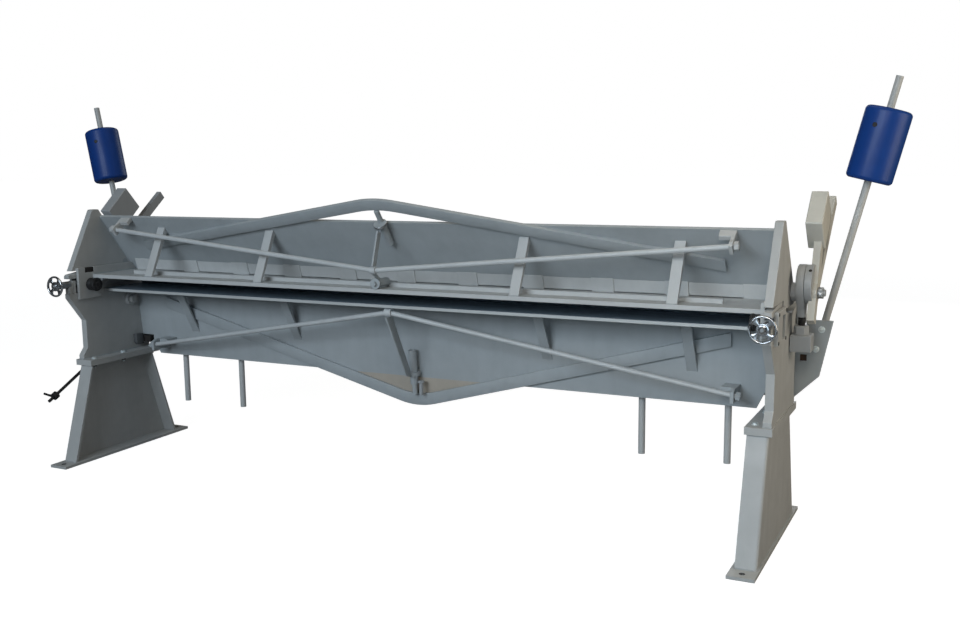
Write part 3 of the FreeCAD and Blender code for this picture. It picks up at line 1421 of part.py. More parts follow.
def make_angle_stop():
    """Make the stop rod, its lug, its slotted plate and its collar."""
    eye = doc.addObject("Part::Cylinder", "stop_eye")
    eye.Radius = 15
    eye.Height = 15.6
    eye.Placement = Placement(Vector(STOP_X - 7.8, *STOP_EYE), Rotation(Vector(0, 1, 0), 90))
    bar = rod_between("stop_bar", "stop_rod", stop_point(8), stop_point(size["stop_reach"]))
    bore = doc.addObject("Part::Cylinder", "stop_eye_bore")
    bore.Radius = 6.05
    bore.Height = 60
    bore.Placement = Placement(Vector(STOP_X - 30, *STOP_EYE), Rotation(Vector(0, 1, 0), 90))
    node(cut("stop_rod", joined("stop_rod_weld", eye, bar), bore), "stop_rod")
    lug_x = STOP_X - 8 - 8
    lug_points = [
        ("apron_y - 39", "bed_top - 200"), ("apron_y", "bed_top - 206"), ("apron_y", "bed_top - 164"),
        ("apron_y - 39", "bed_top - 170"),
    ]
    lug = plate("stop_lug_plate", "YZ_Plane", lug_points, 8)
    lug.Placement = Placement(Vector(lug_x, 0, 0), Rotation())
    pin = doc.addObject("Part::Cylinder", "stop_lug_pin")
    pin.Radius = 6
    pin.Height = 26
    pin.Placement = Placement(Vector(lug_x, *STOP_EYE), Rotation(Vector(0, 1, 0), 90))
    node(joined("stop_lug", lug, pin), "stop_lug")
    plate_low = size["bed_top"] - 378
    plate_high = size["bed_top"] - 210
    wall = 10
    guide = box("stop_guide_blank", 44, wall, plate_high - plate_low, STOP_X - 22, STOP_GUIDE_Y, plate_low)
    slot_high = plate_high - plate_low - 20
    slot = box("stop_guide_slot", 17, 60, slot_high, STOP_X - 8.5, STOP_GUIDE_Y - 20, plate_low + 10)
    notch = box(
        "stop_guide_notch", 8, 60, 70, "-1 * half_inner - frame_wall - 5.2", STOP_GUIDE_Y - 20,
        "leg_top + 2 * deck_wall - 69.8",
    )
    node(cut("stop_guide", guide, slot, notch), "stop_guide")
    spin = Rotation(Vector(0, 0, 1), stop_point(0) - stop_point(100))
    collar = sleeve("stop_collar_ring", 17, "stop_rod + run_fit", 22)
    collar.Placement = Placement(stop_point(size["stop_reach"] - 30), spin)
    seat = stop_point(size["stop_reach"] - 41)
    cross = rod_between("stop_cross", 4, seat + Vector(-9, 0, 0), seat + Vector(-52, 0, 0))
    grip = rod_between("stop_grip", 5, seat + Vector(-48, -18, 9), seat + Vector(-48, 18, -9))
    node(joined("stop_collar", collar, cross, grip), "stop_collar")


make_angle_stop()


# Checks and export

doc.recompute()
faults = [o.Name for o in doc.Objects if "Invalid" in o.State or "Error" in o.State]
for name, obj in nodes.items():
    shape = obj.Shape
    if shape.isNull() or not shape.isValid() or not shape.Solids:
        faults.append(name)
if faults:
    raise SystemExit("failed objects: " + ", ".join(faults))
for name, obj in sorted(nodes.items()):
    obj.Shape.exportStep(f"parts/{name}.step")
    bounds = obj.Shape.BoundBox
    print(
        f"{name:20s} solids {len(obj.Shape.Solids):2d} volume {obj.Shape.Volume / 1e3:10.1f} cm3 "
        f"x {bounds.XMin:8.1f} {bounds.XMax:8.1f} y {bounds.YMin:7.1f} {bounds.YMax:7.1f} "
        f"z {bounds.ZMin:7.1f} {bounds.ZMax:7.1f}"
    )
print(len(nodes), "sub-parts")
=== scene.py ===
import logging
import math
from collections.abc import Callable, Iterable, Sequence
from dataclasses import dataclass, field
from enum import Enum

import bmesh
import bpy
from mathutils import Euler, Matrix, Vector


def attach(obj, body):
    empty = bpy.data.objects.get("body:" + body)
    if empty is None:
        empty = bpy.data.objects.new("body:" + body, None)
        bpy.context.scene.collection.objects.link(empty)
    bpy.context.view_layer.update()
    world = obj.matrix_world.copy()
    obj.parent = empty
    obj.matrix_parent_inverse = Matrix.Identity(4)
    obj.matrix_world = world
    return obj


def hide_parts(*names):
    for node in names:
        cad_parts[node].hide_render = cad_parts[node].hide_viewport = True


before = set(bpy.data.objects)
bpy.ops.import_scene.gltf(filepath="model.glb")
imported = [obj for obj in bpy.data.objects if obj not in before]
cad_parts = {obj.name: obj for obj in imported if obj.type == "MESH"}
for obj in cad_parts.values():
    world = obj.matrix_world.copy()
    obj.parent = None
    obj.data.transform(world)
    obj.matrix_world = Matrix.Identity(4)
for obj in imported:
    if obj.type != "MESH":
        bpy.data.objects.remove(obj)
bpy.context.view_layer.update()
LOG = logging.getLogger("sheet_metal_folder")
MM = 0.001

Point = tuple[float, float, float]
Pairs = Sequence[tuple[float, float]]
BMesh = bmesh.types.BMesh
Material = bpy.types.Material
Node = bpy.types.Node
Socket = bpy.types.NodeSocket
Tree = bpy.types.NodeTree


class Side(Enum):
    """The two ends of the machine, with the sign of X."""

    LEFT = -1
    RIGHT = 1

    @property
    def label(self) -> str:
        """Return the word used in node and body names."""
        return self.name.lower()


class Tone(Enum):
    """Base tints of the machine paint; three are lighter copies of one grey that carry painted light, and the
    darkest is painted shade.
    """

    BEAM = (0.388, 0.418, 0.436)
    FRAME = (0.45, 0.455, 0.45)
    # A paler copy of the machine paint: painted light on parts that face up and back into the light.
    EDGE = (0.52, 0.53, 0.53)
    # A paler copy of the machine paint: painted light on the thin tie rods.
    ROD = (0.54, 0.56, 0.57)
    PRIMER = (0.46, 0.41, 0.35)
    # A lighter, warmer copy of the machine paint: painted warm light on the right lever arm and weight.
    LEVER = (0.60, 0.585, 0.53)
    FORGING = (0.37, 0.385, 0.40)
    SHADOW = (0.10, 0.105, 0.11)


def at(x: float, y: float, z: float) -> Vector:
    """Return a point given in millimetres as metres."""
    return Vector((x, y, z)) * MM


def looking(direction: Vector) -> Matrix:
    """Return the turn that takes local Z to a direction."""
    return direction.to_track_quat("Z", "Y").to_matrix().to_4x4()


def seat(point: Vector, direction: Vector) -> Matrix:
    """Return a place at a point with local Z along a direction."""
    return Matrix.Translation(point) @ looking(direction)


# Shader nodes


class Graph:
    """A node tree, with short ways to add the nodes that the finishes use."""

    def __init__(self, tree: Tree) -> None:
        """Hold the tree."""
        self.tree = tree

    def add(self, kind: str) -> Node:
        """Add a shader node by the last part of its type."""
        return self.tree.nodes.new(f"ShaderNode{kind}")

    def feed(self, value: Socket | float | Point, socket: Socket) -> None:
        """Link a socket to an input, or set the input to a constant.

        Args:
            value: an output socket, a number or a vector.
            socket: the input.
        """
        if isinstance(value, Socket):
            self.tree.links.new(value, socket)
        else:
            socket.default_value = value

    def point(self, stretch: Point = (1.0, 1.0, 1.0)) -> Socket:
        """Add object coordinates.

        Args:
            stretch: scale along each axis.

        Returns:
            The vector output.
        """
        scale = self.add("Mapping")
        self.feed(stretch, scale.inputs["Scale"])
        self.feed(self.add("TexCoord").outputs["Object"], scale.inputs["Vector"])
        return scale.outputs["Vector"]

    def facing(self, axis: str) -> Socket:
        """Add the share of the surface normal along an axis.

        Args:
            axis: X, Y or Z.

        Returns:
            The value output.
        """
        split = self.add("SeparateXYZ")
        self.feed(self.add("NewGeometry").outputs["Normal"], split.inputs[0])
        return split.outputs[axis]

    def noise(
        self, vector: Socket, scale: float | Socket, detail: float = 3.0, rough: float = 0.5
    ) -> Socket:
        """Add a noise texture.

        Args:
            vector: where the noise is read.
            scale: its scale.
            detail: its octaves.
            rough: weight of the fine octaves.

        Returns:
            The value output.
        """
        node = self.add("TexNoise")
        for label, value in (("Vector", vector), ("Scale", scale), ("Detail", detail), ("Roughness", rough)):
            self.feed(value, node.inputs[label])
        return node.outputs["Fac"]

    def compute(
        self, operation: str, first: Socket | float, second: Socket | float, clamp: bool = False
    ) -> Socket:
        """Add a math node.

        Args:
            operation: its operation.
            first: first operand.
            second: second operand.
            clamp: whether the result is kept between 0 and 1.

        Returns:
            The value output.
        """
        node = self.add("Math")
        node.operation = operation
        node.use_clamp = clamp
        self.feed(first, node.inputs[0])
        self.feed(second, node.inputs[1])
        return node.outputs[0]

    def spread(
        self, value: Socket, low: float, high: float, to_low: float = 0.0, to_high: float = 1.0
    ) -> Socket:
        """Add a clamped change of range.

        Args:
            value: the value that changes.
            low: start of its range.
            high: end of its range.
            to_low: what the start becomes.
            to_high: what the end becomes.

        Returns:
            The value output.
        """
        node = self.add("MapRange")
        node.clamp = True
        self.feed(value, node.inputs["Value"])
        for label, number in (("From Min", low), ("From Max", high), ("To Min", to_low), ("To Max", to_high)):
            node.inputs[label].default_value = number
        return node.outputs["Result"]

    def mix(self, factor: Socket, first: Socket | Point, second: Socket | Point) -> Socket:
        """Add a colour mix.

        Args:
            factor: share of the second colour.
            first: a colour output or RGB.
            second: a colour output or RGB.

        Returns:
            The colour output.
        """
        node = self.add("Mix")
        node.data_type = "RGBA"
        self.feed(factor, node.inputs["Factor"])
        for index, value in ((6, first), (7, second)):
            self.feed(value if isinstance(value, Socket) else (*value[:3], 1.0), node.inputs[index])
        return node.outputs[2]


class EffectGroup(Graph):
    """A shader node group that several finishes share."""

    def __init__(self, name: str, inputs: dict[str, float], outputs: Sequence[str]) -> None:
        """Make the group with its sockets.

        Args:
            name: name of the group.
            inputs: input names with their default numbers.
            outputs: output names.
        """
        super().__init__(bpy.data.node_groups.new(name, "ShaderNodeTree"))
        for label, value in inputs.items():
            socket = self.tree.interface.new_socket(name=label, in_out="INPUT", socket_type="NodeSocketFloat")
            socket.default_value = value
        for label in outputs:
            self.tree.interface.new_socket(name=label, in_out="OUTPUT", socket_type="NodeSocketFloat")
        self.given = self.tree.nodes.new("NodeGroupInput").outputs
        self.out = self.tree.nodes.new("NodeGroupOutput").inputs


def mottle_group() -> EffectGroup:
    """Make slow cloudy tone and rain-like streaks in a sprayed coat.

    Returns:
        The group.
    """
    group = EffectGroup("Sprayed Tone", {"Clouds": 1.0, "Streaks": 1.0}, ["Tone"])
    wide = group.spread(group.noise(group.point(), 2.1, 4.0), 0.35, 0.65)
    fine = group.spread(group.noise(group.point(), 17.0, 5.0, 0.6), 0.3, 0.7)
    fall = group.spread(group.noise(group.point((22.0, 22.0, 1.6)), 1.0), 0.45, 0.75)
    clouds = group.compute("MULTIPLY", group.compute("ADD", wide, fine), group.given["Clouds"])
    clouds = group.compute("MULTIPLY", clouds, 0.35)
    streaks = group.compute("MULTIPLY", fall, group.given["Streaks"])
    streaks = group.compute("MULTIPLY", streaks, 0.3)
    group.feed(group.compute("MINIMUM", group.compute("ADD", clouds, streaks), 1.0), group.out["Tone"])
    return group


def edge_group() -> EffectGroup:
    """Mark rubbed edges, broken up by a fine noise.

    Returns:
        The group.
    """
    group = EffectGroup("Rubbed Edges", {"Amount": 0.5, "Grain": 60.0}, ["Edge"])
    bevel = group.add("Bevel")
    bevel.samples = 4
    bevel.inputs["Radius"].default_value = 0.0025
    bend = group.add("VectorMath")
    bend.operation = "DOT_PRODUCT"
    group.feed(bevel.outputs["Normal"], bend.inputs[0])
    group.feed(group.add("NewGeometry").outputs["Normal"], bend.inputs[1])
    edge = group.spread(bend.outputs["Value"], 0.995, 0.93)
    broken = group.spread(group.noise(group.point(), group.given["Grain"]), 0.48, 0.62)
    worn = group.compute("MULTIPLY", edge, broken)
    group.feed(group.compute("MULTIPLY", worn, group.given["Amount"], clamp=True), group.out["Edge"])
    return group


def dust_group() -> EffectGroup:
    """Lay dust on upward faces.

    Returns:
        The group.
    """
    group = EffectGroup("Settled Dust", {"Amount": 0.4}, ["Dust"])
    up = group.spread(group.facing("Z"), 0.35, 0.95)
    patch = group.spread(group.noise(group.point(), 9.0, 6.0, 0.65), 0.4, 0.68)
    lies = group.compute("MULTIPLY", up, patch)
    group.feed(group.compute("MULTIPLY", lies, group.given["Amount"], clamp=True), group.out["Dust"])
    return group


def machined_group() -> EffectGroup:
    """Draw long tool marks along X and small stains on bare steel.

    Returns:
        The group.
    """
    group = EffectGroup("Machined Marks", {"Fineness": 1.0}, ["Marks", "Stain"])
    marks = group.noise(group.point((3.0, 900.0, 900.0)), group.given["Fineness"], 4.0, 0.7)
    group.feed(marks, group.out["Marks"])
    stain = group.spread(group.noise(group.point((1.0, 5.0, 5.0)), 6.0, 6.0, 0.7), 0.45, 0.75)
    group.feed(stain, group.out["Stain"])
    return group


def peel_group() -> EffectGroup:
    """Make the fine skin of a sprayed coat.

    Returns:
        The group.
    """
    group = EffectGroup("Spray Skin", {"Size": 420.0}, ["Height"])
    group.feed(group.noise(group.point(), group.given["Size"], 2.0), group.out["Height"])
    return group


@dataclass
class Effects:
    """The shared node groups, each built once."""

    mottle: EffectGroup = field(default_factory=mottle_group)
    edges: EffectGroup = field(default_factory=edge_group)
    dust: EffectGroup = field(default_factory=dust_group)
    machined: EffectGroup = field(default_factory=machined_group)
    peel: EffectGroup = field(default_factory=peel_group)


class Coat(Graph):
    """The nodes of one material, round its principled shader."""

    def __init__(self, name: str, effects: Effects) -> None:
        """Make an empty material.

        Args:
            name: name of the material.
            effects: the shared node groups.
        """
        self.material = bpy.data.materials.new(name)
        self.material.use_nodes = True
        super().__init__(self.material.node_tree)
        self.effects = effects
        self.shader = self.tree.nodes["Principled BSDF"]

    def place(self, group: EffectGroup, **values: float) -> bpy.types.bpy_prop_collection:
        """Place a shared group.

        Args:
            group: the group.
            values: numbers for its inputs, by name in lower case.

        Returns:
            The outputs of the placed group.
        """
        node = self.add("Group")
        node.node_tree = group.tree
        for label, value in values.items():
            node.inputs[label.capitalize()].default_value = value
        return node.outputs

    def give(self, **values: Socket | float) -> None:
        """Feed inputs of the shader, named in lower case with underscores."""
        for label, value in values.items():
            self.feed(value, self.shader.inputs[label.replace("_", " ").title()])

    def bump(self, height: Socket, distance: float, strength: float) -> None:
        """Bump the surface.

        Args:
            height: the height output.
            distance: depth of the bump in metres.
            strength: its share.
        """
        bump = self.add("Bump")
        for label, value in (("Distance", distance), ("Strength", strength), ("Height", height)):
            self.feed(value, bump.inputs[label])
        self.give(normal=bump.outputs["Normal"])


def shade(rgb: Iterable[float], factor: float) -> tuple[float, ...]:
    """Return a colour made lighter or darker."""
    return tuple(min(1.0, c * factor) for c in rgb)


@dataclass(frozen=True)
class Finish:
    """A finish of the machine; each kind lays its own nodes."""

    name: str

    def build(self, effects: Effects) -> Material:
        """Make the material.

        Args:
            effects: the shared node groups.

        Returns:
            The material.
        """
        coat = Coat(self.name, effects)
        self.lay(coat)
        return coat.material

    def lay(self, coat: Coat) -> None:
        """Lay the nodes of this kind of finish."""
        raise NotImplementedError


@dataclass(frozen=True)
class PaintFinish(Finish):
    """Satin machine paint sprayed on plate, with rubbed edges and a little dust."""

    rgb: Point
    wear: float = 0.45
    dust: float = 0.35
    rough: float = 0.44

    def lay(self, coat: Coat) -> None:
        """Lay the paint, the dust and the rubbed edges.

        Args:
            coat: the material's nodes.
        """
        tone = coat.place(coat.effects.mottle, clouds=1.0, streaks=0.8)["Tone"]
        worn = coat.place(coat.effects.edges, amount=self.wear)["Edge"]
        settled = coat.place(coat.effects.dust, amount=self.dust)["Dust"]
        skin = coat.place(coat.effects.peel, size=430.0)["Height"]
        sprayed = coat.mix(tone, shade(self.rgb, 1.04), shade(self.rgb, 0.84))
        dusty = coat.mix(settled, sprayed, (0.46, 0.45, 0.42))
        satin = coat.spread(tone, 0.0, 1.0, self.rough - 0.06, self.rough + 0.12)
        coat.give(
            base_color=coat.mix(worn, dusty, (0.60, 0.61, 0.60)),
            roughness=coat.compute("ADD", satin, coat.compute("MULTIPLY", settled, 0.3), clamp=True),
        )
        coat.bump(skin, 0.0004, 0.18)


@dataclass(frozen=True)
class SteelFinish(Finish):
    """Machined or ground bare steel with tool marks and stains."""

    rgb: Point
    stain: Point
    rough: float = 0.34
    metal: float = 0.9
    marks: float = 0.3

    def lay(self, coat: Coat) -> None:
        """Lay the steel, its tool marks and its stains.

        Args:
            coat: the material's nodes.
        """
        tool = coat.place(coat.effects.machined, fineness=1.0)
        worn = coat.place(coat.effects.edges, amount=0.5)["Edge"]
        lines = coat.mix(tool["Marks"], shade(self.rgb, 0.8), shade(self.rgb, 1.2))
        stained = coat.mix(coat.compute("MULTIPLY", tool["Stain"], 0.6), lines, self.stain)
        coat.give(
            base_color=coat.mix(worn, stained, shade(self.rgb, 2.0)),
            roughness=coat.spread(tool["Stain"], 0.0, 1.0, self.rough, self.rough + 0.22),
            metallic=self.metal,
        )
        coat.bump(tool["Marks"], 0.0002, self.marks)


@dataclass(frozen=True)
class TableFinish(Finish):
    """Blue-black ground steel with a light grey rear edge."""

    dark: Point = (0.25, 0.32, 0.39)
    edge: Point = (0.52, 0.54, 0.54)

    def lay(self, coat: Coat) -> None:
        """Lay the ground face and the painted rear edge.

        Args:
            coat: the material's nodes.
        """
        tool = coat.place(coat.effects.machined, fineness=1.0)
        worn = coat.place(coat.effects.edges, amount=0.6)["Edge"]
        lines = coat.mix(tool["Marks"], shade(self.dark, 0.75), shade(self.dark, 1.25))
        stained = coat.mix(coat.compute("MULTIPLY", tool["Stain"], 0.5), lines, shade(self.dark, 0.5))
        rear = coat.spread(coat.facing("Y"), -0.5, -0.7)
        coat.give(
            base_color=coat.mix(worn, coat.mix(rear, stained, self.edge), (0.5, 0.5, 0.5)),
            roughness=coat.spread(tool["Stain"], 0.0, 1.0, 0.42, 0.6),
            metallic=0.25,
        )
        coat.bump(tool["Marks"], 0.0002, 0.25)


@dataclass(frozen=True)
class ChromeFinish(Finish):
    """Polished chrome with faint smears."""

    def lay(self, coat: Coat) -> None:
        """Lay the chrome and its smears.

        Args:
            coat: the material's nodes.
        """
        smear = coat.spread(coat.noise(coat.point(), 38.0, 5.0, 0.65), 0.4, 0.7, 0.15, 0.28)
        tone = coat.spread(coat.noise(coat.point(), 90.0), 0.3, 0.7)
        coat.give(
            base_color=coat.mix(tone, (0.46, 0.47, 0.49), (0.58, 0.59, 0.61)),
            roughness=smear,
            metallic=1.0,
        )
        coat.bump(coat.place(coat.effects.peel, size=160.0)["Height"], 0.0003, 0.08)


@dataclass(frozen=True)
class EnamelFinish(Finish):
    """Thick glossy enamel on the counterweights."""

    rgb: Point = (0.006, 0.050, 0.255)

    def lay(self, coat: Coat) -> None:
        """Lay the enamel, the dust and the rubbed edges.

        Args:
            coat: the material's nodes.
        """
        tone = coat.place(coat.effects.mottle, clouds=0.9, streaks=0.4)["Tone"]
        worn = coat.place(coat.effects.edges, amount=0.25)["Edge"]
        settled = coat.place(coat.effects.dust, amount=0.25)["Dust"]
        skin = coat.place(coat.effects.peel, size=240.0)["Height"]
        dusty = coat.mix(settled, coat.mix(tone, self.rgb, shade(self.rgb, 0.72)), (0.12, 0.16, 0.26))
        coat.give(
            base_color=coat.mix(worn, dusty, (0.10, 0.16, 0.30)),
            roughness=coat.spread(tone, 0.0, 1.0, 0.38, 0.52),
            coat_weight=0.05,
            coat_roughness=0.16,
        )
        coat.shader.inputs["Specular IOR Level"].default_value = 0.25
        coat.bump(skin, 0.0006, 0.12)


@dataclass(frozen=True)
class DarkFinish(Finish):
    """Black oxide, and the near-black coat that is painted shade in recesses and holes."""

    rgb: Point = (0.02, 0.02, 0.021)
    rough: float = 0.42
    metal: float = 0.5

    def lay(self, coat: Coat) -> None:
        """Lay the dark coat and its grime.

        Args:
            coat: the material's nodes.
        """
        worn = coat.place(coat.effects.edges, amount=0.5)["Edge"]
        grime = coat.spread(coat.noise(coat.point(), 55.0, 6.0, 0.7), 0.35, 0.7)
        coat.give(
            base_color=coat.mix(worn, coat.mix(grime, self.rgb, shade(self.rgb, 1.9)), (0.16, 0.16, 0.16)),
            roughness=coat.spread(grime, 0.0, 1.0, self.rough, self.rough + 0.3),
            metallic=self.metal,
        )
        coat.bump(grime, 0.0004, 0.2)


@dataclass(frozen=True)
class ZincFinish(Finish):
    """Bright zinc plate with a faint yellow and blue tint."""

    def lay(self, coat: Coat) -> None:
        """Lay the plating.

        Args:
            coat: the material's nodes.
        """
        tint = coat.spread(coat.noise(coat.point(), 70.0, 4.0), 0.35, 0.65)
        worn = coat.place(coat.effects.edges, amount=0.4)["Edge"]
        plated = coat.mix(tint, (0.66, 0.68, 0.66), (0.72, 0.80, 0.82))
        coat.give(
            base_color=coat.mix(worn, plated, (0.8, 0.8, 0.8)),
            roughness=coat.spread(tint, 0.0, 1.0, 0.38, 0.52),
            metallic=0.55,
        )


@dataclass(frozen=True)
class FloorFinish(Finish):
    """Plain pale studio floor: almost white as seen, mid grey for the light it throws back."""

    glow: float = 0.92
    bounce: float = 0.34

    def lay(self, coat: Coat) -> None:
        """Lay the grey floor, and the glow that only the camera sees.

        Args:
            coat: the material's nodes.
        """
        patch = coat.spread(coat.noise(coat.point(), 0.7, 4.0), 0.3, 0.7)
        grey = coat.mix(patch, (self.bounce,) * 3, (self.bounce * 0.94,) * 3)
        coat.give(base_color=grey, roughness=0.9)
        coat.shader.inputs["Specular IOR Level"].default_value = 0.0
        reach = coat.add("VectorMath")
        reach.operation = "LENGTH"
        coat.feed(coat.point(), reach.inputs[0])
        glow = coat.add("Emission")
        coat.feed(coat.spread(reach.outputs["Value"], 2.5, 12.0, self.glow, 1.0), glow.inputs["Strength"])
        both = coat.add("AddShader")
        coat.feed(coat.shader.outputs["BSDF"], both.inputs[0])
        coat.feed(glow.outputs["Emission"], both.inputs[1])
        seen = coat.add("MixShader")
        coat.feed(coat.add("LightPath").outputs["Is Camera Ray"], seen.inputs["Fac"])
        coat.feed(coat.shader.outputs["BSDF"], seen.inputs[1])
        coat.feed(both.outputs["Shader"], seen.inputs[2])
        coat.feed(seen.outputs["Shader"], coat.tree.nodes["Material Output"].inputs["Surface"])


@dataclass
class Palette:
    """Every finish of the machine, built once."""

    effects: Effects = field(default_factory=Effects)

    def paint(self, name: str, rgb: Point, **values: float) -> Material:
        """Return a machine paint."""
        return PaintFinish(name, rgb, **values).build(self.effects)

    def __post_init__(self) -> None:
        """Build the materials."""
        self.beam = self.paint("Blue-grey machine paint", Tone.BEAM.value)
        self.frame = self.paint("Light grey machine paint", Tone.FRAME.value, wear=0.4)
        # Lighter, warmer copy of the machine paint: painted warm light on the right lever arm and weight.
        self.lever = self.paint("Warm grey machine paint", Tone.LEVER.value, wear=0.35, dust=0.2)
        # Paler copy of the machine paint: painted light on the tie rods.
        self.rod = self.paint("Light rod paint", Tone.ROD.value, wear=0.2, dust=0.2)
        self.primer = self.paint("Beige primer", Tone.PRIMER.value, wear=0.1, dust=0.1)
        # Near-black grey: painted shade.
        self.shadow = self.paint("Dark grey paint", Tone.SHADOW.value, wear=0.2, dust=0.1)
        self.forging = self.paint("Grey forging paint", Tone.FORGING.value, wear=0.3, dust=0.2)
        # Paler copy of the machine paint: painted light on the clamping beam's floor, ribs and tie ends, the
        # nose strip and the handles.
        self.edge = self.paint("Pale grey machine paint", Tone.EDGE.value, wear=0.35)
        self.weld = self.paint("Painted weld", shade(Tone.BEAM.value, 0.92), wear=0.1, rough=0.5)
        self.table = TableFinish("Ground bed plate").build(self.effects)
        self.blade = SteelFinish(
            "Dark ground steel", (0.26, 0.31, 0.36), (0.12, 0.14, 0.17), rough=0.45, metal=0.3
        ).build(self.effects)
        self.bright = SteelFinish(
            "Turned steel", (0.34, 0.35, 0.36), (0.16, 0.14, 0.12), rough=0.30, metal=0.9, marks=0.15
        ).build(self.effects)
        self.chrome = ChromeFinish("Polished chrome").build(self.effects)
        self.enamel = EnamelFinish("Dark blue enamel").build(self.effects)
        self.black = DarkFinish("Black oxide").build(self.effects)
        # Near-black coat for holes, recesses and sunk screws: painted shade.
        self.recess = DarkFinish("Dark recess", (0.012, 0.010, 0.009), 0.7, 0.0).build(self.effects)
        self.rust = DarkFinish("Brown recess", (0.05, 0.028, 0.018), 0.8, 0.0).build(self.effects)
        self.zinc = ZincFinish("Bright zinc plate").build(self.effects)
        self.floor = FloorFinish("Pale floor").build(self.effects)


# Mesh making


class Bench:
    """Makes pieces, dresses them, and puts them on the body that carries them."""

    sharp_angle = math.radians(35)

    def __init__(self) -> None:
        """Start with an empty list of pieces."""
        self.made: list[str] = []

    def keep(
        self, name: str, mesh: BMesh, finish: Material, body: str, slot: str, stand_for: Sequence[str] = ()
    ) -> None:
        """Turn a mesh into a piece of the machine.

        Args:
            name: name of the piece.
            mesh: its mesh in machine coordinates, in metres.
            finish: its material.
            body: the body that it rides on.
            slot: name of a material slot; not used.
            stand_for: CAD nodes that it replaces.
        """
        data = bpy.data.meshes.new(name)
        bmesh.ops.recalc_face_normals(mesh, faces=mesh.faces)
        mesh.to_mesh(data)
        mesh.free()
        data.polygons.foreach_set("use_smooth", [True] * len(data.polygons))
        data.set_sharp_from_angle(angle=self.sharp_angle)
        piece = bpy.data.objects.new(name, data)
        bpy.context.scene.collection.objects.link(piece)
        data.materials.append(finish)
        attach(piece, body)
        if stand_for:
            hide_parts(*stand_for)
        self.made.append(name)


def polar(radius: float, turn: float, height: float) -> Vector:
    """Return a point round local Z, from millimetres and radians."""
    return at(radius * math.cos(turn), radius * math.sin(turn), height)


def bridge(mesh: BMesh, rings: Sequence[Sequence[bmesh.types.BMVert]]) -> None:
    """Join rings of equal count with faces, each to the next.

    Args:
        mesh: the mesh that holds the rings.
        rings: the rings in order.
    """
    for low, high in zip(rings, rings[1:]):
        for i in range(len(low)):
            j = (i + 1) % len(low)
            mesh.faces.new([low[i], low[j], high[j], high[i]])


def add_lathe(mesh: BMesh, profile: Pairs, place: Matrix, segments: int = 40) -> None:
    """Add a turned shape.

    Args:
        mesh: the mesh to add to.
        profile: radius and height pairs in millimetres.
        place: where its axis stands, in metres.
        segments: faces round the turn.
    """
    rings = []
    for radius, height in profile:
        count = segments if radius > 1e-6 else 1
        turns = [math.tau * i / segments for i in range(count)]
        rings.append([mesh.verts.new(place @ polar(radius, turn, height)) for turn in turns])
    for low, high in zip(rings, rings[1:]):
        for i in range(segments):
            j = (i + 1) % segments
            corners = [low[i % len(low)], low[j % len(low)], high[j % len(high)], high[i % len(high)]]
            unique = list(dict.fromkeys(corners))
            if len(unique) > 2:
                mesh.faces.new(unique)


def lathe(profile: Pairs, place: Matrix, segments: int = 40) -> BMesh:
    """Make one turned shape.

    Args:
        profile: radius and height pairs in millimetres.
        place: where its axis stands, in metres.
        segments: faces round the turn.

    Returns:
        The mesh.
    """
    mesh = bmesh.new()
    add_lathe(mesh, profile, place, segments)
    return mesh


def prism(outline: Sequence[Vector], depth: Vector, soft: float, segments: int = 2) -> BMesh:
    """Make an outline with a thickness and softened edges.

    Args:
        outline: corners in metres, in order.
        depth: the thickness as a vector in metres.
        soft: bevel width in millimetres.
        segments: bevel steps.

    Returns:
        The mesh.
    """
    mesh = bmesh.new()
    low = [mesh.verts.new(p) for p in outline]
    high = [mesh.verts.new(p + depth) for p in outline]
    mesh.faces.new(low)
    mesh.faces.new(list(reversed(high)))
    bridge(mesh, [low, high])
    bmesh.ops.recalc_face_normals(mesh, faces=mesh.faces)
    bmesh.ops.bevel(
        mesh, geom=list(mesh.edges), offset=soft * MM, segments=segments, profile=0.5, affect="EDGES",
        clamp_overlap=True,
    )
    return mesh


def add_hexagon(
    mesh: BMesh, flats: float, height: float, place: Matrix, bore: float, turn: float
) -> None:
    """Add a hexagon nut with turned-down corners.

    Args:
        mesh: the mesh to add to.
        flats: width across flats in millimetres.
        height: height in millimetres.
        place: the middle of its seat, in metres.
        bore: radius of its hole in millimetres.
        turn: turn about its own axis in degrees.
    """
    corner = flats / math.sqrt(3)
    turns = [math.radians(15 * i + turn) for i in range(24)]
    rings = []
    for share, rise in ((0.90, 0.0), (1.0, 0.09), (1.0, 0.86), (0.88, 1.0)):
        ring = []
        for i, angle in enumerate(turns):
            radius = flats / 2 / math.cos(math.radians((15 * i) % 60 - 30))
            if share < 1:
                radius = min(radius, corner * share)
            ring.append(mesh.verts.new(place @ polar(radius, angle, rise * height)))
        rings.append(ring)
    bridge(mesh, rings)
    for ring, level in ((rings[0], 0.0), (rings[-1], height)):
        bridge(mesh, [ring, [mesh.verts.new(place @ polar(bore, angle, level)) for angle in turns]])


def add_tube(mesh: BMesh, path: Sequence[Vector], radius: Callable[[int], float], sides: int) -> None:
    """Add a tube along a path.

    Args:
        mesh: the mesh to add to.
        path: points in metres.
        radius: radius in metres for each point's index.
        sides: faces round the tube.
    """
    turns = [math.tau * k / sides for k in range(sides)]
    rings = []
    side = None
    for i, point in enumerate(path):
        before = path[max(0, i - 1)]
        after = path[min(len(path) - 1, i + 1)]
        along = (after - before).normalized()
        if side is None:
            side = along.orthogonal().normalized()
        side = (side - along * side.dot(along)).normalized()
        other = along.cross(side)
        size = radius(i)
        ring = [point + (side * math.cos(a) + other * math.sin(a)) * size for a in turns]
        rings.append([mesh.verts.new(corner) for corner in ring])
    bridge(mesh, rings)
    mesh.faces.new(rings[0])
    mesh.faces.new(list(reversed(rings[-1])))


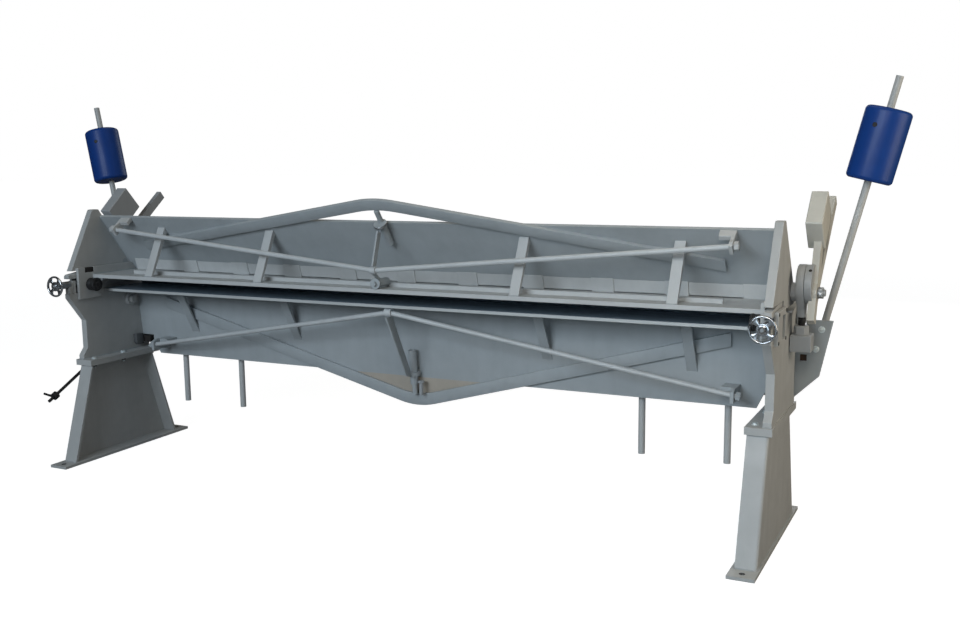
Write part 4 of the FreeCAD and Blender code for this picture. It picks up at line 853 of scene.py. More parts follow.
def add_bead(mesh: BMesh, start: Vector, end: Vector, size: float, step: float = 3.6) -> None:
    """Add a weld bead with its ripples between two points.

    Args:
        mesh: the mesh to add to.
        start: first point in metres.
        end: last point in metres.
        size: bead radius in millimetres.
        step: distance between ripples in millimetres.
    """
    run = end - start
    count = max(4, int(run.length / (step * MM)) * 2)

    def radius(i: int) -> float:
        """Return the bead's radius at a point.

        Args:
            i: index of the point.

        Returns:
            The radius in metres.
        """
        taper = min(1.0, 0.45 + 0.28 * min(i, count - i))
        wander = 1.0 + 0.07 * math.sin(i * 1.7) + 0.05 * math.sin(i * 0.43)
        return size * MM * taper * wander * (1.0 if i % 2 else 0.86)

    add_tube(mesh, [start + run * (i / count) for i in range(count + 1)], radius, 7)


def add_bead_round(mesh: BMesh, place: Matrix, radius: float, size: float) -> None:
    """Add a weld bead round a bar.

    Args:
        mesh: the mesh to add to.
        place: the bar's middle, with local Z along the bar.
        radius: radius of the bar in millimetres.
        size: bead radius in millimetres.
    """
    count = max(16, int(math.tau * radius / 2.2))
    points = [place @ polar(radius, math.tau * i / count, 0) for i in range(count + 1)]
    add_tube(mesh, points, lambda i: size * MM * (1.0 if i % 2 else 0.85), 7)


def thread_profile(radius: float, start: float, end: float, pitch: float) -> list[tuple[float, float]]:
    """Return the half profile of a threaded stretch.

    Args:
        radius: outer radius.
        start: height of its start.
        end: height of its end.
        pitch: distance between turns.

    Returns:
        Radius and height pairs.
    """
    count = max(2, int(abs(end - start) / pitch))
    step = (end - start) / count
    turn = ((0.1, 1.0), (0.5, 0.90), (0.9, 1.0))
    return [(radius * deep, start + i * step + share * step) for i in range(count) for share, deep in turn]


# Places shared by the sub-assemblies in millimetres, and the lean of the clamping beam's face

HALF = 1540.0
LEAN = math.radians(52.5)
BEND = (226.0, 776.0)
PIVOT = (-138.0, 806.0)
SHAFT = (100.0, 886.0)
THROW = 29.0
CAM = (SHAFT[0] + THROW * math.cos(math.radians(82)), SHAFT[1] + THROW * math.sin(math.radians(82)))
LINK_FOOT = (112.0, 702.0)
WHEEL_Z = 812.0
FLOOR_TOP = 849.6
FOOT_TOP = 462.0


def off_face(along: float, off: float) -> tuple[float, float]:
    """Return Y and Z of a point up the clamping beam's face and off its front."""
    y = BEND[0] - along * math.cos(LEAN) - off * math.sin(LEAN)
    return y, BEND[1] + along * math.sin(LEAN) - off * math.cos(LEAN)


def on_face(x: float, along: float, off: float) -> Vector:
    """Return a point up the clamping beam's face and off its front, in metres."""
    return at(x, *off_face(along, off))


def on_web(x: float, z: float, off: float = 0.0) -> Vector:
    """Return a point on the rear face of the bed web at a height, off to the rear."""
    return at(x, 163 + 0.1 * (776 - z) - off, z)


def mast_line(side: Side) -> tuple[Vector, Vector]:
    """Give the line of a counterweight rod.

    Args:
        side: the end of the machine.

    Returns:
        Its foot in metres and the way it points.
    """
    foot = at(side.value * 1632, 255.5, 632)
    return foot, (at(side.value * 1873, 306, 1624) - foot).normalized()


@dataclass(frozen=True)
class BowLine:
    """Centre line of a bow bar: two straight arms that meet in a soft bend."""

    end: float
    peak: float
    half: float = 1350.0
    bend: float = 85.0
    width: float = 50.0

    def outline(self, place: Callable[[float, float], Vector]) -> list[Vector]:
        """Trace the bar.

        Args:
            place: turns X and height into a point in metres.

        Returns:
            The corners in order.
        """
        slope = math.atan2(self.peak - self.end, self.half)
        rise = self.width / 2 / math.cos(slope)
        knee = self.peak - self.bend * math.tan(slope)
        line = [(-self.half, self.end)]
        for i in range(-10, 11):
            x = self.bend * i / 10
            line.append((x, knee + math.tan(slope) * (self.bend * self.bend - x * x) / (2 * self.bend)))
        line.append((self.half, self.end))
        return [place(x, z - rise) for x, z in line] + [place(x, z + rise) for x, z in reversed(line)]

    def weld(
        self, mesh: BMesh, place: Callable[[float, float], Vector], low: float, high: float
    ) -> None:
        """Weld both edges of the bar with short beads, where they lie on the plate.

        Args:
            mesh: the mesh to add to.
            place: turns X and height into a point in metres.
            low: no bead below this height.
            high: no bead above this height.
        """
        for x in (190 * i for i in range(-6, 7) if i):
            slope = math.copysign(1.0, x) * (self.end - self.peak) / self.half
            for edge in (-26.0, 26.0):
                z = self.peak + (self.end - self.peak) * abs(x) / self.half + edge
                if low < z < high:
                    add_bead(mesh, place(x - 28, z - 28 * slope), place(x + 28, z + 28 * slope), 2.4)


CLAMP_BOW = BowLine(266, 537)
BED_BOW = BowLine(692, 325)


# Sub-assemblies


@dataclass
class CadNodes:
    """Finishes of the CAD nodes that are kept as they are."""

    palette: Palette

    def dress(self) -> None:
        """Give every CAD node its finish."""
        table = {
            self.palette.frame: (
                "stand_left stand_right side_frame_left side_frame_right slide_guides stop_guide bed_bosses "
                "clamp_end_left clamp_end_right masts"
            ),
            self.palette.beam: (
                "bed_front_bar bed_web bed_ribs bed_tie_ends bed_strut bed_post clamp_face clamp_strut "
                "clamp_post apron_web apron_face apron_ribs apron_arms stop_lug clamp_bow bed_bow"
            ),
            # The paler copy below is painted light.
            self.palette.edge: "clamp_floor clamp_ribs clamp_tie_ends apron_handles nose_strip",
            # The tie rods take the paler copy: painted light.
            self.palette.rod: "clamp_tie_rods bed_tie_rods",
            # The right lever arm and weight take the warm lit copy: painted warm light.
            self.palette.lever: "lever_arm_right lever_weight_right",
            # The left lever arm and weight take this darker grey as a shaded copy of the right ones: on them
            # it is painted shade.
            self.palette.forging: (
                "eccentric_left eccentric_right link_strap_left link_strap_right link_block_left "
                "link_block_right clamp_shafts lever_arm_left lever_weight_left"
            ),
            self.palette.table: "bed_plate",
            self.palette.blade: "nose_blade",
            self.palette.bright: "slide_blocks spindle_left spindle_right link_pins hinge_pins",
            self.palette.black: "pivot_pins stop_rod stop_collar",
            self.palette.chrome: "handwheel_left handwheel_right",
            self.palette.zinc: "mast_bolts frame_bolts",
            self.palette.enamel: "weight_left weight_right",
        }
        for material, names in table.items():
            for name in names.split():
                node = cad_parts[name]
                node.data.materials.clear()
                node.data.materials.append(material)
                LOG.info("dressed %s", name)


@dataclass
class SubAssembly:
    """Pieces that are built and dressed together."""

    bench: Bench
    palette: Palette


@dataclass
class EndAssembly(SubAssembly):
    """A sub-assembly that both ends of the machine have."""

    side: Side

    @property
    def sign(self) -> int:
        """Return the sign of X at this end."""
        return self.side.value

    @property
    def label(self) -> str:
        """Return the word for this end."""
        return self.side.label

    def outward(self, x: float, y: float, z: float) -> Matrix:
        """Return a place at this end whose local Z points out of the machine."""
        return seat(at(self.sign * x, y, z), Vector((self.sign, 0, 0)))

    def side_plate(self, x: float, corners: Pairs, thick: float, soft: float, segments: int = 2) -> BMesh:
        """Make a plate that lies along the side frame.

        Args:
            x: distance of its first face from the middle of the machine.
            corners: its outline in Y and Z.
            thick: its thickness, positive outwards.
            soft: bevel width.
            segments: bevel steps.

        Returns:
            The mesh.
        """
        outline = [at(self.sign * x, y, z) for y, z in corners]
        return prism(outline, at(self.sign * thick, 0, 0), soft, segments)


@dataclass
class Bows(SubAssembly):
    """The two bow bars with a smooth bend, in place of the faceted solids, and their middle fittings."""

    gap: float = 12.05
    thick: float = 15.0
    soft: float = 1.8

    def build(self) -> None:
        """Make both bars, the panel inside the lower one, the strut, the bolt and the rings."""
        keep, palette = self.bench.keep, self.palette
        outline = CLAMP_BOW.outline(lambda x, s: on_face(x, s, self.gap))
        depth = on_face(0, 0, self.gap + self.thick) - on_face(0, 0, self.gap)
        bar = prism(outline, depth, self.soft)
        keep("clamp_bow_bar", bar, palette.beam, "clamping_beam", "paint_grey", ("clamp_bow",))
        bar = prism(BED_BOW.outline(lambda x, z: on_web(x, z, 0.05)), at(0, -13.93, -1.39), self.soft)
        keep("bed_bow_bar", bar, palette.beam, "frame", "paint_grey", ("bed_bow",))
        corners = ((-392, 434.5), (392, 434.5), (70, 334), (-70, 334))
        panel = prism([on_web(x, z, -1.0) for x, z in corners], at(0, 8, 0), 1.0)
        keep("bow_gusset", panel, palette.primer, "frame", "paint_grey")
        corners = ((-52, 724.6), (-4, 724.6), (141.6, 457.9), (143.2, 441.9), (104, 452))
        strut = prism([at(-4, y, z) for y, z in corners], at(8, 0, 0), 0.8)
        keep("bed_strut_bar", strut, palette.beam, "frame", "paint_grey", ("bed_strut",))
        self.centre_bolt()
        self.post_rings()

    def centre_bolt(self) -> None:
        """Make the bolt beside the bed's post."""
        head = [(0, 8.4), (12.6, 8.4), (14.2, 7.2), (14.2, 1.2), (12.6, 0.0), (8.4, 0.0)]
        shank = [(8.4, -52.0), (7.4, -53.0), (0, -53.0)]
        bolt = lathe(head + shank, Matrix.Translation(at(37, 164, 416)), 24)
        self.bench.keep("bow_bolt", bolt, self.palette.forging, "frame", "paint_grey")

    def post_rings(self) -> None:
        """Make the bright rings on the clamping beam's floor screw and post."""
        mesh = bmesh.new()
        up_face = on_face(0, 1, 0) - on_face(0, 0, 0)
        for place, radius, length in (
            (seat(at(0, -126, 871.2), Vector((0, 1, 0))), 22.0, 10.0),
            (seat(on_face(0, 436, 39.6), up_face), 27.0, 12.0),
        ):
            outer = radius + 1.0
            profile = [
                (radius + 0.05, 0.3), (outer, 1.0), (outer, 0.42 * length), (radius + 0.3, 0.5 * length),
                (outer, 0.58 * length), (outer, length - 1.0), (radius + 0.05, length - 0.3),
            ]
            add_lathe(mesh, profile, place)
        self.bench.keep("post_rings", mesh, self.palette.bright, "clamping_beam", "steel_bright")


@dataclass
class Handwheel(EndAssembly):
    """Chrome handwheel: thin round rim, flat web with four openings, domed hub."""

    rim: float = 42.6
    bar: float = 4.4
    disc: float = 21.0
    spokes: int = 4
    spoke_faces: int = 16

    def build(self) -> None:
        """Make the wheel, its screw and the hole for a crank, a near-black disc of painted shade."""
        place = seat(at(self.sign * (HALF + 15), -315, WHEEL_Z), Vector((0, -1, 0)))
        mesh = bmesh.new()
        turns = [math.tau * i / 20 for i in range(21)]
        ring = [(self.rim + self.bar * math.cos(a), 1.3 * self.bar * math.sin(a)) for a in turns]
        add_lathe(mesh, ring, place, 64)
        hub = [
            (10.1, -8.5), (18, -8.5), (19.5, -7), (self.disc, -2.5), (self.disc, 1.6), (19.6, 3.2),
            (16.8, 3.6), (16.2, 2.6), (15.2, 2.6), (14.6, 4.2), (11.6, 5.4), (10.6, 4.6), (10.2, 6.6),
            (8.4, 7.6), (7.4, 6.2),
        ]
        add_lathe(mesh, hub, place, 48)
        for i in range(self.spokes):
            self.add_spoke(mesh, place @ Matrix.Rotation(math.radians(45 + 90 * i), 4, "Z"))
        keep, body = self.bench.keep, f"handwheel_{self.label}"
        keep(f"handwheel_casting_{self.label}", mesh, self.palette.chrome, body, "chrome", (body,))
        screw = lathe([(0, 7.2), (2.6, 7.2), (3.0, 8.6), (6.2, 8.4), (7.0, 7.4), (7.0, 5.0)], place, 24)
        keep(f"handwheel_screw_{self.label}", screw, self.palette.bright, body, "steel_bright")
        turn = Matrix.Rotation(math.radians(160 if self.side is Side.RIGHT else 60), 4, "Z")
        spot = place @ turn @ Matrix.Translation(at(self.rim - 0.5, 0, 4.6))
        # The crank hole is a near-black disc: painted shade.
        hole = lathe([(0, 1.2), (2.6, 1.2), (3.1, 0.9), (3.1, -2)], spot, 16)
        keep(f"handwheel_crank_hole_{self.label}", hole, self.palette.recess, body, "steel_black")

    def add_spoke(self, mesh: BMesh, place: Matrix) -> None:
        """Add one petal spoke, widening from the hub to the rim.

        Args:
            mesh: the mesh to add to.
            place: the wheel's place, turned so that local X runs along the spoke.
        """
        stations = ((18, 6.5, 2.8), (24, 7.0, 2.4), (30, 9.0, 2.4), (36, 13.0, 2.6), (40.5, 17.5, 2.8))
        rings = []
        for reach, wide, thick in stations:
            ring = []
            for k in range(self.spoke_faces):
                a = math.tau * k / self.spoke_faces
                side = wide * math.copysign(abs(math.cos(a)) ** 0.6, math.cos(a))
                out = math.sqrt(max(0.0, reach * reach - side * side)) if reach > 35 else reach
                ring.append(mesh.verts.new(place @ at(out, side, thick * math.sin(a) - 0.6)))
            rings.append(ring)
        bridge(mesh, rings)


@dataclass
class Counterweight(EndAssembly):
    """Enamelled counterweight with rounded rims and a set screw."""

    radius: float = 80.0
    length: float = 256.0
    soft: float = 15.0
    hole: float = 13.1
    lift: float = 652.0
    screw_up: float = 190.0

    def build(self) -> None:
        """Make the weight, the seat of its screw, a near-black ring of painted shade, and the screw."""
        foot, run = mast_line(self.side)
        base = foot + run * self.lift * MM
        inner = self.radius - self.soft
        arc = [(math.sin(a), math.cos(a)) for a in (math.pi / 16 * i for i in range(9))]
        profile = [(self.hole, 0.4), (14.5, 0.0), (inner, 0.0)]
        profile += [(inner + self.soft * s, self.soft - self.soft * c) for s, c in arc[1:]]
        profile += [(inner + self.soft * c, self.length - self.soft + self.soft * s) for s, c in arc]
        profile += [(14.5, self.length), (self.hole, self.length - 0.4), (self.hole, 0.4)]
        keep, body, label = self.bench.keep, f"counterweight_{self.label}", self.label
        casting, solid = lathe(profile, seat(base, run), 72), f"weight_{label}"
        keep(f"weight_casting_{label}", casting, self.palette.enamel, body, "paint_blue", (solid,))
        out = Vector((-0.35 * self.sign, -1, 0))
        out = (out - run * out.dot(run)).normalized()
        spot = seat(base + run * self.screw_up * MM + out * (self.radius - 1.5) * MM, out)
        # The seat is a near-black ring round the screw: painted shade.
        sunk = lathe([(0, 1.9), (6.8, 1.9), (8.6, 1.4), (9.2, 0.4), (9.2, -2)], spot, 24)
        keep(f"weight_screw_seat_{label}", sunk, self.palette.recess, body, "steel_black")
        screw = lathe([(0, 2.0), (2.6, 2.0), (3.0, 2.3), (5.8, 2.3), (6.0, 1.8), (6.0, 0)], spot, 24)
        keep(f"weight_screw_{label}", screw, self.palette.black, body, "steel_black")


@dataclass
class CounterweightRod(EndAssembly):
    """Washers and bolt faces at the foot of a counterweight rod, and the square hole by the right one."""

    bolt_steps: tuple[float, float] = (33.0, 108.0)

    def build(self) -> None:
        """Make the washers, the bolt faces and the square hole's lining."""
        foot, run = mast_line(self.side)
        washers = bmesh.new()
        heads = bmesh.new()
        for step in self.bolt_steps:
            bolt = foot + run * step * MM
            spot = seat(Vector((bolt.x, 0.229, bolt.z)), Vector((0, -1, 0)))
            add_lathe(washers, [(6.1, 1.7), (12.0, 1.7), (12.4, 1.3), (12.4, 0.0)], spot, 32)
            add_lathe(heads, [(0, 8.6), (6.5, 8.6), (7.4, 8.2), (7.4, 7.5)], spot, 32)
        keep = self.bench.keep
        keep(f"rod_washers_{self.label}", washers, self.palette.zinc, "folding_beam", "zinc")
        keep(f"rod_bolt_faces_{self.label}", heads, self.palette.zinc, "folding_beam", "zinc")
        if self.side is Side.RIGHT:
            corners = ((1585, 618), (1608, 618), (1608, 641), (1585, 641))
            lining = prism([at(x, 232, z) for x, z in corners], at(0, 7, 0), 0.6, 1)
            keep("square_hole_lining", lining, self.palette.rust, "folding_beam", "steel_black")


@dataclass
class ShaftEnd(EndAssembly):
    """Threaded end, nut and washers of an eccentric shaft."""

    washer_starts: tuple[float, float] = (118.6, 121.5)
    nut_start: float = 124.5

    def build(self) -> None:
        """Make the thread, the stacked washers and the nut."""
        place = self.outward(HALF, *SHAFT)
        mesh = bmesh.new()
        threads = thread_profile(12.2, 133.0, 142.5, 2.4)
        add_lathe(mesh, [(11.0, 132.0)] + threads + [(10.4, 143.9), (0, 144.1)], place, 32)
        washer = ((12.1, 0.0), (19.6, 0.0), (20.4, 0.6), (20.4, 2.0), (19.6, 2.5), (12.1, 2.5))
        for start in self.washer_starts:
            add_lathe(mesh, [(radius, start + rise) for radius, rise in washer], place, 36)
        add_hexagon(mesh, 34.4, 8.5, place @ Matrix.Translation(at(0, 0, self.nut_start)), 12.0, 11.0)
        self.bench.keep(f"shaft_end_{self.label}", mesh, self.palette.bright, "clamping_beam", "steel_bright")


@dataclass
class Link(EndAssembly):
    """Clamping link: forged strap, black screw and the crown of its lock nut."""

    middle: float = 1605.5
    ring: float = 69.0
    bore: float = 46.05
    wall: float = 28.0
    thread_start: float = 117.4
    thread_end: float = 156.0
    reach: float = 173.0

    def place(self) -> Matrix:
        """Find the link's place.

        Returns:
            The place, with local X out of the machine's middle and local Z down the link.
        """
        head = at(self.sign * self.middle, *CAM)
        down = (at(self.sign * self.middle, *LINK_FOOT) - head).normalized()
        across = Vector((1, 0, 0))
        return Matrix.Translation(head) @ Matrix((across, down.cross(across), down)).transposed().to_4x4()

    def flank(self) -> list[tuple[float, float]]:
        """Trace the strap.

        Returns:
            Distances across and down, once round.
        """
        turns = [math.radians(degrees) for degrees in range(180, 44, -5)]
        half = [(self.ring * math.sin(a), self.ring * math.cos(a)) for a in turns]
        half += [(43.0, 60.0), (36.0, 72.0), (29.0, 82.0), (25.0, 90.0)]
        half += [(22.0, 98.0), (20.0, 107.0), (18.8, 114.0)]
        return half + [(-u, v) for u, v in reversed(half[1:])]

    def build(self) -> None:
        """Make the strap, the thread and the nut's crown."""
        place = self.place()
        keep, body, label = self.bench.keep, f"link_{self.label}", self.label
        solid = f"link_strap_{label}"
        strap = bmesh.new()
        self.add_strap(strap, place)
        socket = [(13.0, 106), (18.4, 107), (18.8, 109), (18.4, 115.5), (16.8, 117.4), (12.6, 117.7)]
        add_lathe(strap, socket, place, 32)
        keep(f"link_forging_{label}", strap, self.palette.forging, body, "paint_grey", (solid,))
        threads = thread_profile(12.5, self.thread_start, self.thread_end, 2.8)
        screw = lathe([(11.0, 112.0)] + threads + [(11.0, self.reach)], place, 32)
        keep(f"link_thread_{label}", screw, self.palette.black, body, "steel_black")
        crown = [(12.7, 152.6), (12.7, 147.0), (20.0, 146.4), (23.0, 147.4), (24.6, 149.6), (24.8, 152.6)]
        nut = lathe(crown + crown[:1], place, 48)
        add_lathe(nut, [(12.7, 178.6), (27.6, 178.6), (28.2, 178.0), (28.2, 175.6), (27.0, 174.9)], place, 48)
        keep(f"link_nut_crown_{label}", nut, self.palette.forging, body, "paint_grey")

    def add_strap(self, mesh: BMesh, place: Matrix) -> None:
        """Add the strap: a ring that runs smoothly into a flat shank.

        Args:
            mesh: the mesh to add to.
            place: the link's place.
        """
        outline = self.flank()
        half = self.wall / 2
        edge = [(-half, 3.0), (-half + 1.2, 1.0), (-half + 3.6, 0.0)]
        loops = []
        for off, share in edge + [(-off, share) for off, share in reversed(edge)]:
            loops.append([mesh.verts.new(place @ at(off, *self.drawn_in(u, v, share))) for u, v in outline])
        for off, share in ((half, 1.4), (half - 1.4, 0.0), (-half + 1.4, 0.0), (-half, 1.4)):
            loop = []
            for u, v in outline:
                scale = (self.bore + share) / math.hypot(u, v)
                loop.append(mesh.verts.new(place @ at(off, u * scale, v * scale)))
            loops.append(loop)
        bridge(mesh, loops + loops[:1])

    def drawn_in(self, u: float, v: float, share: float) -> tuple[float, float]:
        """Move a point of the outline towards the ring's middle or the shank's axis.

        Args:
            u: distance across.
            v: distance down.
            share: how far it moves, in millimetres.

        Returns:
            The new distances across and down.
        """
        if v > 60:
            return u * (1 - share / max(8.0, abs(u))), v
        scale = 1 - share / math.hypot(u, v)
        return u * scale, v * scale


@dataclass
class FloorFixings(SubAssembly):
    """Washers and nuts at the frame feet, and anchor holes in the floor plates lined with painted shade."""

    foot_bolts: tuple[float, ...] = (-160.0, 20.0, 205.0)
    anchors: tuple[float, ...] = (-365.0, 365.0)

    def build(self) -> None:
        """Make the washers, the nuts below, the bolt faces and the hole rims, whose near-black is painted
        shade.
        """
        washers, nuts, heads, rims = (bmesh.new() for _ in range(4))
        washer = [(6.6, 2.0), (12.6, 2.0), (13, 1.5), (13, 0)]
        for side in Side:
            for y in self.foot_bolts:
                spot = Matrix.Translation(at(side.value * 1510, y, FOOT_TOP))
                add_lathe(washers, washer, spot, 32)
                add_lathe(heads, [(0, 8.6), (7.2, 8.6), (8.6, 8.0), (8.6, 7.4)], spot, 32)
                under = seat(at(side.value * 1510, y, 436), Vector((0, 0, -1)))
                add_hexagon(nuts, 19, 10, under, 6.0, 12.0)
                add_lathe(washers, washer, under, 32)
            for y in self.anchors:
                spot = Matrix.Translation(at(side.value * 1523, y, 12))
                add_lathe(rims, [(9.0, -11.5), (9.0, 0.0), (9.6, 0.35), (10.4, 0.0)], spot, 32)
        keep = self.bench.keep
        keep("foot_washers", washers, self.palette.zinc, "frame", "steel_bright")
        keep("foot_nuts", nuts, self.palette.black, "frame", "steel_black")
        keep("foot_bolt_faces", heads, self.palette.zinc, "frame", "zinc")
        # The near-black hole rims are painted shade.
        keep("anchor_hole_rims", rims, self.palette.recess, "frame", "steel_black")


@dataclass
class TieRodThreads(SubAssembly):
    """Threaded stubs where the tie rods leave their nuts."""

    bed_reach: float = 1402.0
    clamp_reach: float = 1426.0

    def build(self) -> None:
        """Make the two threaded stubs of each beam."""
        for name, body, reach, end, centre in (
            ("bed", "frame", self.bed_reach, (100, 491), (-26, 742)),
            ("clamp", "clamping_beam", self.clamp_reach, off_face(412, 77), (-134, 925)),
        ):
            mesh = bmesh.new()
            for side in Side:
                start = at(side.value * reach, *end)
                place = seat(start, (at(0, *centre) - start).normalized())
                add_lathe(mesh, thread_profile(10.5, 0.4, 6.0, 1.9) + [(10.0, 6.4)], place, 28)
            self.bench.keep(f"{name}_tie_threads", mesh, self.palette.bright, body, "steel_bright")


@dataclass
class Welds(SubAssembly):
    """Weld beads of both beams, the frames and the stands."""

    clamp_ribs: tuple[float, ...] = (-1200.0, -596.0, 596.0, 1200.0)
    bed_ribs: tuple[float, ...] = (-1200.0, -610.0, 610.0, 1200.0)
    handles: tuple[float, ...] = (-1326.0, -987.0, 987.0, 1326.0)

    def build(self) -> None:
        """Make every run of weld."""
        keep, weld = self.bench.keep, self.palette.weld
        keep("clamping_beam_welds", self.clamping_beam(), weld, "clamping_beam", "paint_grey")
        keep("bed_welds", self.bed(), weld, "frame", "paint_grey")
        keep("stand_welds", self.stands(), weld, "frame", "paint_grey")
        keep("folding_beam_welds", self.apron(), weld, "folding_beam", "paint_grey")

    def clamping_beam(self) -> BMesh:
        """Weld the ribs, the bow bar and the end plates of the clamping beam.

        Returns:
            The mesh.
        """
        mesh = bmesh.new()
        for x in self.clamp_ribs:
            for edge in (-20, 20):
                add_bead(mesh, at(x + edge, -112, FLOOR_TOP), at(x + edge, -98, FLOOR_TOP), 2.6)
            add_bead(mesh, at(x - 20, -112.3, FLOOR_TOP), at(x + 20, -112.3, FLOOR_TOP), 2.6)
        CLAMP_BOW.weld(mesh, lambda x, s: on_face(x, s, 13), -math.inf, 425.0)
        for side in Side:
            x = side.value * 1539
            add_bead(mesh, on_face(x, 150, 12.6), on_face(x, 424, 12.6), 3.0)
            x = side.value * 1524.4
            add_bead(mesh, at(x, -118, 849.8), at(x, 146, 849.8), 3.0)
        return mesh

    def bed(self) -> BMesh:
        """Weld the web, the ribs and the bow bar of the bed.

        Returns:
            The mesh.
        """
        mesh = bmesh.new()
        for x in self.bed_ribs:
            for edge in (-20, 20):
                add_bead(mesh, at(x + edge, 70, 763.4), at(x + edge, 86, 763.4), 2.6)
                add_bead(mesh, on_web(x + edge, 575, 0.6), on_web(x + edge, 556, 0.6), 2.6)
        BED_BOW.weld(mesh, lambda x, z: on_web(x, z, 0.4), 445.0, math.inf)
        for x in range(-1400, 1401, 200):
            add_bead(mesh, on_web(x - 35, 763.4, 0.8), on_web(x + 35, 763.4, 0.8), 2.8)
        return mesh

    def stands(self) -> BMesh:
        """Weld the legs to their plates and the frames to their feet.

        Returns:
            The mesh.
        """
        mesh = bmesh.new()
        for side in Side:
            for start, end, size in (
                ((1563.4, -315, 12.4), (1563.4, 312, 12.4), 3.2),
                ((1563.4, -186, 435.6), (1563.4, 182, 435.6), 3.0),
                ((HALF, -190, 462.4), (HALF, 230, 462.4), 3.2),
                ((1490, -327.5, 12.4), (1552, -327.5, 12.4), 3.0),
                ((1490, 323.5, 12.4), (1552, 323.5, 12.4), 3.0),
                ((1490, -194.6, 435.4), (1552, -194.6, 435.4), 2.8),
                ((1541, -192.6, 462.4), (1569, -192.6, 462.4), 2.8),
            ):
                mirror = Matrix.Diagonal((side.value, 1, 1))
                add_bead(mesh, mirror @ at(*start), mirror @ at(*end), size)
        return mesh

    def apron(self) -> BMesh:
        """Weld the ribs, the handle sockets and the counterweight rods of the folding beam.

        Returns:
            The mesh.
        """
        mesh = bmesh.new()
        for x in (480 * i for i in range(-3, 4)):
            for edge in (-5.4, 5.4):
                add_bead(mesh, at(x + edge, 241.4, 492), at(x + edge, 241.4, 750), 2.4)
        for x in self.handles:
            add_bead_round(mesh, Matrix.Translation(at(x, 246, 477.0)), 19.2, 2.2)
        for side in Side:
            foot, run = mast_line(side)
            for edge in (-11, 11):
                start = Vector((foot.x + edge * MM, 0.2414, foot.z))
                add_bead(mesh, start, start + run * 0.12, 2.0)
        return mesh


@dataclass
class SlideDetails(EndAssembly):
    """Fittings of the side frame round the setting slide, and the screw in the eccentric's rim."""

    screw_spots: tuple[tuple[float, float], ...] = ((-196, 750), (-71, 750), (-196, 845), (-71, 845))
    saddle: float = 10.9
    rim_turn: float = 131.0
    rim_radius: float = 67.8

    def build(self) -> None:
        """Make every fitting of this end."""
        place = seat(at(self.sign * (HALF - 60), *PIVOT), Vector((-self.sign, 0, 0)))
        face = [(0, 0.6), (6, 0.6), (10.5, 0.3), (11.5, 0.9), (12.5, 0.2), (25, 0.2), (27.5, -1.5)]
        self.keep("pivot_pin_face", lathe(face, place), self.palette.black, "carriage", "steel_black")
        screws = bmesh.new()
        for y, z in self.screw_spots:
            screw = [(0, 2.2), (3.4, 2.2), (4.2, 2.4), (6.0, 2.0), (6.4, 1.0), (6.4, 0)]
            add_lathe(screws, screw, self.outward(1584, y, z), 24)
        self.keep("keeper_screws", screws, self.palette.black, "frame", "steel_black")
        self.cap()
        self.sleeve()
        self.blocks()
        self.rim_screw()

    def keep(self, name: str, mesh: BMesh, finish: Material, body: str, slot: str) -> None:
        """Keep a piece, with its name marked for this end."""
        self.bench.keep(f"{name}_{self.label}", mesh, finish, body, slot)

    def cap(self) -> None:
        """Make the head's bar, cut away under the end plate, and the block that closes the slot."""
        corners = ((-246, 851.6), (-63, 851.6), (-63, 870.2), (-138, 870.2), (-246, 856.8))
        bar = self.side_plate(1541.5, corners, 27, 1.2)
        self.keep("head_cap", bar, self.palette.frame, "frame", "paint_grey")
        turns = [math.radians(degrees) for degrees in range(0, 181, 15)]
        saddle = [(self.saddle * math.cos(a), WHEEL_Z - self.saddle * math.sin(a)) for a in turns]
        corners = [(-13.5, 770.6), (13.5, 770.6), (13.5, 823), (self.saddle, 823)]
        corners += saddle + [(-self.saddle, 823), (-13.5, 823)]
        outline = [at(self.sign * (HALF + 15 + x), -246, z) for x, z in corners]
        block = prism(outline, at(0, 20.5, 0), 0.8)
        self.keep("slot_block", block, self.palette.frame, "frame", "paint_grey")

    def sleeve(self) -> None:
        """Make the black ring round the pivot boss and the near-black lining of the notch above it; both are
        painted shade.
        """
        profile = [(27.1, 0.4), (28.2, 0.8), (28.2, 12), (27.6, 13), (28.2, 14), (28.2, 32.6), (27.1, 33.4)]
        # A black ring over the pivot boss: painted shade between the end plate and the pin head.
        ring = lathe(profile, self.outward(1491, *PIVOT), 48)
        self.keep("pivot_sleeve", ring, self.palette.black, "clamping_beam", "steel_black")
        # A near-black sheet in the notch: painted shade.
        corners = ((-164.4, 860.8), (-112.6, 860.8), (-112.6, 883.0), (-164.4, 883.0))
        lining = self.side_plate(1536.5, corners, -9.5, 1.0)
        self.keep("notch_painted_shade", lining, self.palette.recess, "clamping_beam", "steel_black")

    def blocks(self) -> None:
        """Make the stop blocks low on the side frame, by the cut corner of the web; their near-black colours
        are painted shade.
        """
        corners = ((122, 531), (168, 531), (168, 480), (132, 480), (122, 492))
        bracket = self.side_plate(1539.6, corners, -22, 2.0)
        self.keep("stop_bracket", bracket, self.palette.shadow, "frame", "paint_grey")
        corners = ((172, 519), (206, 519), (206, 487), (172, 487))
        pad = self.side_plate(1539.6, corners, -58, 3.0, 3)
        self.keep("stop_pad", pad, self.palette.recess, "frame", "steel_black")

    def rim_screw(self) -> None:
        """Make the set screw in the rim of the eccentric's flange; its near-black colour is partly the
        screw's own and partly painted shade of its hole.
        """
        turn = math.radians(self.rim_turn)
        out = Vector((0, math.cos(turn), math.sin(turn)))
        place = seat(at(self.sign * 1637, *CAM) + out * self.rim_radius * MM, out)
        screw = lathe([(0, 0.4), (3.0, 0.4), (3.4, 1.4), (5.2, 1.4), (5.8, 0.8), (5.8, -1.0)], place, 20)
        self.keep("rim_screw", screw, self.palette.recess, f"lever_{self.label}", "steel_black")


# Stage


